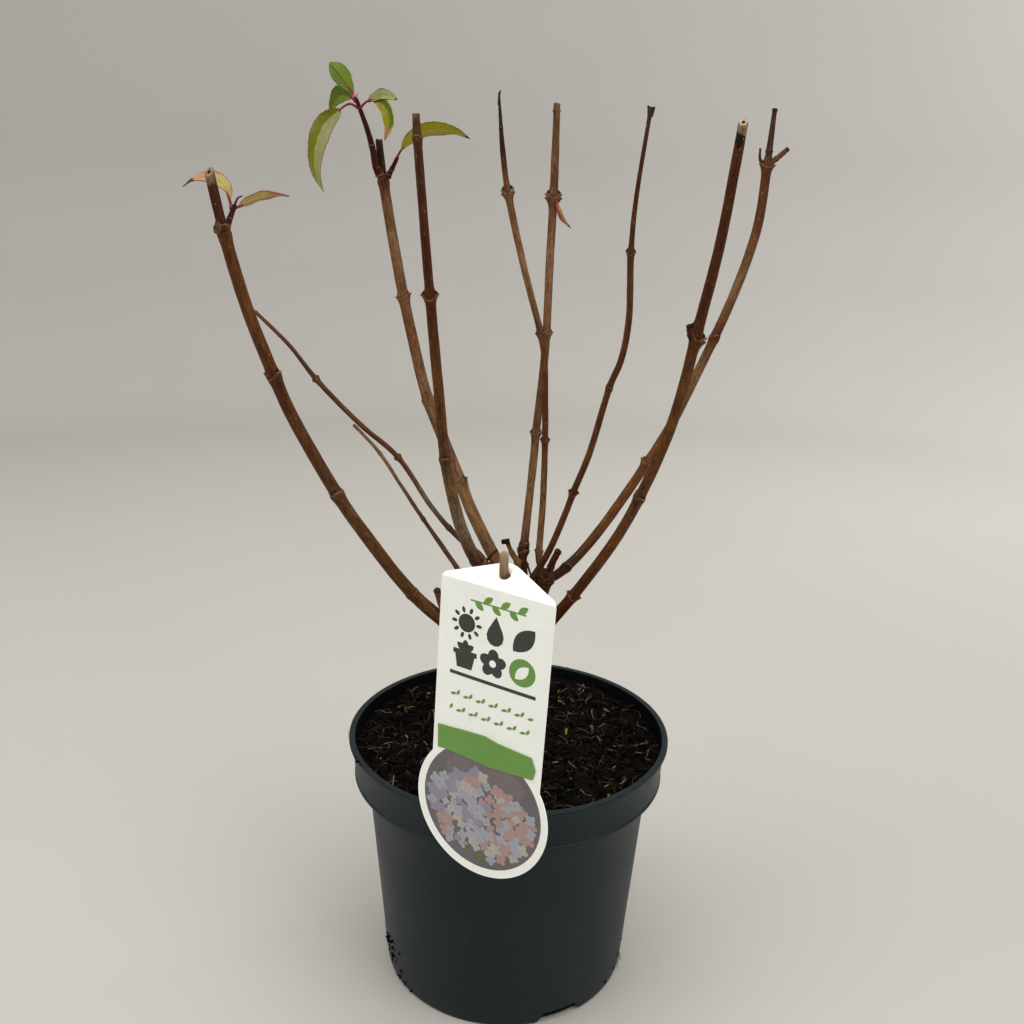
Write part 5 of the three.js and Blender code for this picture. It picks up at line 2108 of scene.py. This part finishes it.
@dataclass
class Label:
    """A folded card label with a round foot, hung by a hole in its gable.

    Shapes on it are given across from its left edge and up from its fold.

    Attributes:
        thickness, width: the card's own sizes.
        corner: where the left end of its fold is, from the middle of the compost's surface.
        yaw, roll: how far it is turned about the upright and in its own plane, in degrees.
        bulb: the round foot's middle, across and down, and its radius.
        picture_radius: the radius of the picture on the foot.
        tilt: how steep the folded gable is, in degrees.
        eave_inset, eave_rise, shoulder_half_width, shoulder_rise, peak: the gable's outline.
        hole: the hole's middle, across and up, and its radius.
        fold_radius: the radius of the fold.
        print_thickness: how far one layer of the print stands out.
        seed: the seed of the blossom.
    """

    thickness: float = 0.8
    corner: Point = (-40, -113.6, 169.2)
    yaw: float = -29.7
    roll: float = 3.2
    width: float = 73.4
    bulb: Point = (35.6, 141, 45)
    picture_radius: float = 40.4
    tilt: float = 40.0
    eave_inset: float = 4.0
    eave_rise: float = 3.5
    shoulder_half_width: float = 7.0
    shoulder_rise: float = 15.8
    peak: float = 19.4
    hole: Point = (36.7, 10.3, 3.6)
    fold_radius: float = 2.0
    print_thickness: float = 0.12
    seed: int = 5

    FOLD_STEP = 0.4375
    PRINT_FOOT = 0.1
    BAND = ((3.2, -94.6), (3.9, -109.7), (11.1, -109.1), (39.2, -110.7), (68.5, -108.6), (69.9, -102.4),
            (66.8, -95.1), (44.8, -93.6), (35.9, -91.9), (24.2, -92.6))
    HALF_DROP = ((0, -16.2), (2.4, -20.6), (4.6, -24.6), (5.6, -28), (4.9, -31.3), (2.8, -33.5), (0, -34.2))
    LITTLE_POT = ((-8, -42.4), (8, -42.4), (8, -45.4), (6.6, -45.4), (5, -53.6), (-5, -53.6), (-6.6, -45.4),
                  (-8, -45.4))

    def build(self) -> None:
        """Makes the card and its print."""
        card = self._card()
        dressed(card.data, [Ink.WHITE.value], 30)
        hand_over(card, "label_card")
        self._print()

    def matrix(self) -> Matrix:
        """Works out the card's own frame: across, up the face, and out to the viewer.

        Returns:
            The frame as a matrix.
        """
        yaw, roll = math.radians(self.yaw), math.radians(self.roll)
        across = Vector((math.cos(yaw) * math.cos(roll), math.sin(yaw) * math.cos(roll), -math.sin(roll)))
        out = Vector((math.sin(yaw), -math.cos(yaw), 0))
        up = out.cross(across)
        basis = Matrix((across, up, out)).transposed().to_4x4()
        return Matrix.Translation(self.corner) @ basis

    def bent(self, flat: Vector) -> Vector:
        """Folds the card's gable back.

        Args:
            flat: a point of the flat card.

        Returns:
            Where it goes.
        """
        angle_full = math.radians(90 - self.tilt)
        radius = self.fold_radius
        start = -0.5 * radius * angle_full
        over = flat.y - start
        curl = 0.35 * math.sin(math.pi * flat.x / self.width) * min(1.0, max(0.0, -flat.y / 60))
        if over <= 0:
            return Vector((flat.x, flat.y, flat.z + curl))
        angle = min(over / radius, angle_full)
        rest = max(0.0, over - radius * angle_full)
        outer = radius + flat.z
        y = start + outer * math.sin(angle) + rest * math.cos(angle)
        z = -radius + outer * math.cos(angle) - rest * math.sin(angle)
        return Vector((flat.x, y, z))

    def outline(self) -> list[Flat]:
        """Draws the flat card.

        Returns:
            Its outline, across and up.
        """
        across, down, radius = self.bulb
        left = math.pi - math.acos(across / radius)
        right = math.acos((self.width - across) / radius) + FULL_TURN
        arc = [left + (right - left) * step / 72 for step in range(73)]
        points = [(across + radius * math.cos(turn), -down + radius * math.sin(turn)) for turn in arc]
        middle = self.width / 2
        bend = [(0, -1.6), (0.5, 0.7), (1.8, 2.4), (self.eave_inset, self.eave_rise)]
        points += [(self.width - inset, rise) for inset, rise in bend]
        for step in range(13):
            share = step / 12
            x = middle + self.shoulder_half_width * (1 - 2 * share)
            crown = 4 * share * (1 - share) * (self.peak - self.shoulder_rise) * 0.5
            points.append((x, self.shoulder_rise + crown))
        points += reversed(bend)
        return points

    def _card(self) -> Piece:
        """Makes the card itself: cut out flat, punched, then folded and hung.

        Returns:
            The card, without its finish.
        """
        mesh = bmesh.new()
        self._tile(mesh, self.outline(), -self.thickness, self.thickness)
        flat = set_down(mesh, "label_card_sheet", lift=0.0)
        x, y, radius = self.hole
        punch = bmesh.new()
        bmesh.ops.create_cone(punch, cap_ends=True, segments=32, radius1=radius, radius2=radius, depth=6)
        bmesh.ops.translate(punch, vec=(x, y, 0), verts=punch.verts)
        carved(flat, [set_down(punch, "punch", lift=0.0)])
        mesh = bmesh.new()
        mesh.from_mesh(flat.data)
        bmesh.ops.scale(mesh, vec=(1 / METRES,) * 3, verts=mesh.verts)
        self._score(mesh)
        self._hang(mesh)
        bmesh.ops.recalc_face_normals(mesh, faces=mesh.faces)
        bmesh.ops.translate(mesh, vec=(0, 0, SOIL_LEVEL), verts=mesh.verts)
        bmesh.ops.scale(mesh, vec=(METRES,) * 3, verts=mesh.verts)
        mesh.to_mesh(flat.data)
        mesh.free()
        return flat

    def _score(self, mesh: Mesh) -> None:
        """Cuts rows and columns into a flat shape, so that it can bend.

        Args:
            mesh: the flat shape.
        """
        rows = [self.FOLD_STEP * step for step in range(-4, 5)] + [-6 - 9 * step for step in range(20)]
        columns = [self.width * step / 8 for step in range(1, 8)]
        cuts = [((0, row, 0), (0, 1, 0)) for row in rows]
        cuts += [((column, 0, 0), (1, 0, 0)) for column in columns]
        for middle, facing in cuts:
            geometry = [*mesh.verts, *mesh.edges, *mesh.faces]
            bmesh.ops.bisect_plane(mesh, geom=geometry, plane_co=middle, plane_no=facing)

    def _hang(self, mesh: Mesh) -> None:
        """Folds a flat shape and hangs it where the card is."""
        for corner in mesh.verts:
            corner.co = self.bent(corner.co)
        bmesh.ops.transform(mesh, matrix=self.matrix(), verts=mesh.verts)

    @staticmethod
    def _tile(mesh: Mesh, outline: Sequence[Flat], bottom: float, thickness: float, number: int = 0) -> None:
        """Adds a flat tile with an outline.

        Args:
            mesh: the mesh that gains the tile.
            outline: its corners, across and up.
            bottom: the height of its underside.
            thickness: how thick it is.
            number: its material's number.
        """
        face = mesh.faces.new([mesh.verts.new((x, y, bottom)) for x, y in outline])
        face.material_index = number
        made = bmesh.ops.extrude_face_region(mesh, geom=[face])["geom"]
        raised = [item for item in made if isinstance(item, Corner)]
        for corner in raised:
            for side in corner.link_faces:
                side.material_index = number
        bmesh.ops.translate(mesh, vec=(0, 0, thickness), verts=raised)

    @staticmethod
    def _swung(middle: Flat, along: float, aside: float, turn: float) -> Flat:
        """Returns the point that lies along and aside of a middle, in a direction turned by an angle."""
        across, up = math.cos(turn), math.sin(turn)
        return (middle[0] + along * across - aside * up, middle[1] + along * up + aside * across)

    def _round(self, x: float, y: float, across: float, up: float, count: int = 24,
               turn: float = 0.0) -> list[Flat]:
        """Draws an oval.

        Args:
            x, y: its middle.
            across, up: its half lengths.
            count: how many corners it has.
            turn: the angle by which it is turned.

        Returns:
            Its outline.
        """
        angles = [FULL_TURN * step / count for step in range(count)]
        return [self._swung((x, y), across * math.cos(angle), up * math.sin(angle), turn) for angle in angles]

    def _leaf(self, x: float, y: float, length: float, width: float, turn: float) -> list[Flat]:
        """Draws a pointed leaf that grows from a point.

        Args:
            x, y: the point.
            length, width: the leaf's size.
            turn: the direction in which it grows, as an angle.

        Returns:
            Its outline.
        """
        found = []
        for step in range(16):
            share = step / 8
            along, way = (share, 1) if share <= 1 else (2 - share, -1)
            half = width / 2 * math.sin(math.pi * along) ** 0.8 * way
            found.append(self._swung((x, y), along * length, half, turn))
        return found

    def _print(self) -> None:
        """Makes the generic print: care pictures, a rule, small leaves, a band and a disc of blossom."""
        inks = list(Ink)
        mesh = bmesh.new()

        def tile(outline: Sequence[Flat], ink: Ink, level: float = 0.0) -> None:
            """Adds one printed shape, a little higher for each level."""
            thickness = self.PRINT_FOOT + self.print_thickness * (0.4 + level)
            self._tile(mesh, outline, -self.PRINT_FOOT, thickness, inks.index(ink))

        def box(x: float, y: float, wide: float, high: float, ink: Ink, level: float = 0.0) -> None:
            """Adds one printed rectangle from its upper left corner."""
            tile([(x, y), (x, y - high), (x + wide, y - high), (x + wide, y)], ink, level)

        for step in range(6):
            turn = math.radians(38 if step % 2 else -38)
            tile(self._leaf(23 + 5.6 * step, -10.4, 7.5, 3.8, turn), Ink.GREEN, 0.04 * step)
        box(20, -10.0, 36, 0.9, Ink.GREEN, 0.4)
        self._care_pictures(tile)
        box(9, -56.8, 57, 2.2, Ink.BLACK)
        for row, y in enumerate((-72.1, -82.1)):
            for step in range(13):
                turn = math.radians(64 if (step + row) % 2 else 16)
                tile(self._leaf(10.4 + 4.3 * step, y, 4.2, 1.9, turn), Ink.GREEN)
        tile(self.BAND, Ink.GREEN, 6.0)
        self._picture(tile)
        self._score(mesh)
        self._hang(mesh)
        hand_over(set_down(mesh, "label_print", [ink.value for ink in inks], crease=30))

    def _care_pictures(self, tile: Callable) -> None:
        """Adds two rows of bold care pictures: sun, drop, leaf, then pot, flower and a green disc.

        Args:
            tile: adds one printed shape.
        """
        sun_x, sun_y = 18.5, -25.3
        tile(self._round(sun_x, sun_y, 5.6, 5.6), Ink.BLACK)
        for step in range(10):
            turn = FULL_TURN * step / 10
            x, y = self._swung((sun_x, sun_y), 8.2, 0, turn)
            tile(self._round(x, y, 1.9, 1.1, 10, turn), Ink.BLACK, 0.1)
        middle = 37.5
        left_side = [(middle - x, y) for x, y in self.HALF_DROP]
        right_side = [(middle + x, y) for x, y in self.HALF_DROP[-2:0:-1]]
        tile(left_side + right_side, Ink.BLACK)
        tile(self._leaf(49.5, -33.4, 20, 11, math.radians(50)), Ink.BLACK)
        tile([(sun_x + x, y) for x, y in reversed(self.LITTLE_POT)], Ink.BLACK)
        for turn in (35, 90, 145):
            tile(self._leaf(sun_x, -42.4, 6.8, 4.2, math.radians(turn)), Ink.BLACK, 0.1)
        flower = (37.2, -45.2)
        for step in range(5):
            turn = FULL_TURN * step / 5 + 0.3
            petal = self._round(*self._swung(flower, 4.7, 0, turn), 4.2, 3.5, 16, turn)
            tile(petal, Ink.BLACK, 0.1 + 0.06 * step)
        tile(self._round(*flower, 2.2, 2.2, 16), Ink.WHITE, 0.6)
        tile(self._round(56.4, -45, 8.4, 8.4, 36), Ink.GREEN, 0.2)
        tile(self._leaf(52.2, -49.6, 12, 6.4, math.radians(48)), Ink.WHITE, 0.5)

    def _picture(self, tile: Callable) -> None:
        """Adds the disc of generic four-petalled blossom inside its white ring.

        Args:
            tile: adds one printed shape.
        """
        rng = random.Random(self.seed)
        x, y = middle = (36.0, -140.0)
        tile(self._round(x, y, 42.6, 42.6, 64), Ink.WHITE, 0.3)
        tile(self._round(x, y, self.picture_radius, self.picture_radius, 64), Ink.GROUND, 0.9)
        for step in range(7):
            cloud = self._round(x + 16 - 5 * step, y + 20 + 3 * (step % 3), 12, 9, 24)
            tile(cloud, Ink.HAZE, 0.95 + 0.03 * step)
        spots: list[Flat] = []
        for _ in range(3000):
            radius = (self.picture_radius - 5.4) * math.sqrt(rng.random())
            spot = self._swung(middle, radius, 0, rng.uniform(0, FULL_TURN))
            clear = all(math.dist(spot, other) > 4.3 for other in spots)
            if clear and spot[1] - y < 24 - 0.5 * abs(spot[0] - x + 4):
                spots.append(spot)
        for index, spot in enumerate(spots):
            if spot[1] - y < -28 and rng.random() < 0.6:
                tile(self._leaf(*spot, 7, 3.6, rng.uniform(0, FULL_TURN)), Ink.LEAFY, 1.2 + index * 0.012)
                continue
            right = (spot[0] - x) / self.picture_radius + rng.uniform(-0.3, 0.3)
            chances = (6, 4, 1, 1) if right < 0 else (2, 1, 2, 6)
            ink = rng.choices((Ink.PALE, Ink.LILAC, Ink.CREAM, Ink.PINK), chances)[0]
            turn = rng.uniform(0, math.pi / 2)
            size = rng.uniform(1.5, 2.7)
            level = 1.4 + index * 0.015
            for petal in range(4):
                way = turn + math.pi / 2 * petal
                heart = self._swung(spot, size * 0.92, 0, way)
                tile(self._round(*heart, size, size * 0.82, 10, way), ink, level + petal * 0.15)
            tile(self._round(*spot, 0.5, 0.5, 8), Ink.PINK, level + 0.8)


# The studio.


@dataclass
class Studio:
    """A pale sweep under and behind the plant, soft lamps and the camera."""

    floor_radius: float = 2000.0
    bend: float = 700.0
    wall_height: float = 3000.0
    camera_place: Point = (-1.0, -662.0, 535.0)
    pitch: float = 16.3
    roll: float = 1.25
    focal_length: float = 36.0

    LAMPS = (
        ("lamp_overhead", (0.1, -0.1, 2.3), (0, 0, 0.2), 2.6, 31.0),
        ("lamp_right", (1.5, -1.2, 1.5), (0, 0, 0.3), 1.6, 22.0),
        ("lamp_left", (-1.6, -0.7, 1.3), (0, 0, 0.3), 1.6, 16.0),
        ("lamp_wall", (1.5, 1.0, 1.2), (0.6, 2.7, 0.6), 1.0, 16.0),
    )

    def build(self) -> None:
        """Makes the sweep, the lamps, the sky and the camera."""
        profile = [(0.0, 0.0), (900.0, 0.0), (self.floor_radius, 0.0)]
        for step in range(1, 13):
            turn = math.pi / 2 * step / 12
            profile.append((self.floor_radius + self.bend * math.sin(turn), self.bend * (1 - math.cos(turn))))
        profile.append((self.floor_radius + self.bend, self.wall_height))
        mesh = turned(profile, 96)
        for face in mesh.faces:
            face.normal_flip()
        bmesh.ops.translate(mesh, vec=(0, 0, -0.2), verts=mesh.verts)
        bmesh.ops.scale(mesh, vec=(METRES,) * 3, verts=mesh.verts)
        data = bpy.data.meshes.new("studio_sweep")
        mesh.to_mesh(data)
        mesh.free()
        sweep = placed(data, "studio_sweep", ["studio_paint"], 180)
        for name, spot, target, size, power in self.LAMPS:
            self._lamp(name, spot, target, size, power)
        world = bpy.data.worlds.new("soft_sky")
        bpy.context.scene.world = world
        world.use_nodes = True
        sky = world.node_tree.nodes["Background"]
        sky.inputs[0].default_value = (1.0, 1.0, 1.0, 1.0)
        sky.inputs[1].default_value = 0.9
        bpy.context.scene.view_settings.view_transform = "Standard"
        self._camera()

    @staticmethod
    def _lamp(name: str, place: Point, target: Point, size: float, power: float) -> None:
        """Adds one square soft lamp, in metres and watts.

        Args:
            name: its name.
            place: where it hangs.
            target: what it faces.
            size: the length of its side.
            power: its power.
        """
        light = bpy.data.lights.new(name, "AREA")
        light.shape = "SQUARE"
        light.size = size
        light.energy = power
        lamp = bpy.data.objects.new(name, light)
        lamp.location = place
        lamp.rotation_euler = (Vector(target) - Vector(place)).to_track_quat("-Z", "Y").to_euler()
        bpy.context.scene.collection.objects.link(lamp)

    def _camera(self) -> None:
        """Adds the camera at the photograph's place and angle."""
        data = bpy.data.cameras.new("camera")
        data.sensor_fit = "AUTO"
        data.sensor_width = 36.0
        data.lens = self.focal_length
        data.clip_start = 0.01
        data.clip_end = 20.0
        pitch, roll = math.radians(self.pitch), math.radians(self.roll)
        forward = Vector((0, math.cos(pitch), -math.sin(pitch)))
        level_up = Vector((0, math.sin(pitch), math.cos(pitch)))
        right = Vector((1, 0, 0)) * math.cos(roll) + level_up * math.sin(roll)
        up = level_up * math.cos(roll) - Vector((1, 0, 0)) * math.sin(roll)
        camera = bpy.data.objects.new("camera", data)
        turn = Matrix((right, up, -forward)).transposed().to_4x4()
        camera.matrix_world = Matrix.Translation(Vector(self.camera_place) * METRES) @ turn
        bpy.context.scene.collection.objects.link(camera)
        bpy.context.scene.camera = camera


def fill_shelf() -> None:
    """Makes the material of every finish and keeps it by name."""
    finishes = [
        CANE_BARK, OLD_BARK, PEG_WOOD, PotPlastic(), StudioPaint(),
        # The inner wall's darker plastic is painted shade.
        PotPlastic("pot_inside_painted_shade", tint(9, 12, 12), tint(14, 16, 12), tint(30, 32, 30), 0.6, 0.05),
        Earth("compost_dark", tint(10, 8, 6)),
        Earth("compost_brown", tint(19, 13, 9)),
        Earth("bark_chip", tint(33, 23, 16), 0.9, 600.0, 0.4),
        Earth("chip_pale", tint(86, 70, 50), 0.9, 600.0, 0.3),
        Earth("chip_green", tint(104, 108, 48), 0.8, 600.0, 0.3),
        Earth("fibre_red", tint(34, 23, 16), 0.8, 900.0, 0.1),
        Earth("fibre_tan", tint(70, 54, 38), 0.8, 900.0, 0.1),
        Earth("fibre_pale", tint(112, 96, 76), 0.8, 900.0, 0.1),
        Card(Ink.WHITE.value, tint(243, 245, 238)),
        Card(Ink.BLACK.value, tint(44, 44, 40), 0.4),
        Card(Ink.GREEN.value, tint(98, 142, 58), 0.35),
        Card(Ink.GROUND.value, tint(96, 89, 90), 0.4, 0.25),
        Card(Ink.HAZE.value, tint(106, 98, 100), 0.4, 0.2),
        Card(Ink.PALE.value, tint(150, 152, 162), 0.4, 0.1),
        Card(Ink.LILAC.value, tint(134, 128, 144), 0.4, 0.1),
        Card(Ink.CREAM.value, tint(166, 160, 154), 0.4, 0.1),
        Card(Ink.PINK.value, tint(160, 130, 126), 0.4, 0.1),
        Card(Ink.LEAFY.value, tint(84, 98, 54), 0.4),
        CRIMSON, PETIOLE, SHOOT, HOOK, PALE_RING, PINK_BUD, BRIGHT, MID, OLIVE, PALE, RIB_PALE, STRAW,
        ORANGE, RUSSET, DARK_TIP, LONG_UPPER,
    ]
    shelf.update({finish.name: finish.material() for finish in finishes})


def main() -> None:
    """Builds the whole plant piece by piece."""
    logging.basicConfig(level=logging.INFO, format="%(message)s")
    fill_shelf()
    Studio().build()
    pot = NurseryPot()
    pot.build()
    Compost(pot).build()
    for piece in (STEM, *ARMS, *CANES, *SPRAYS, Label()):
        piece.build()
    log.info("sizes written")


if __name__ == "__main__":
    main()
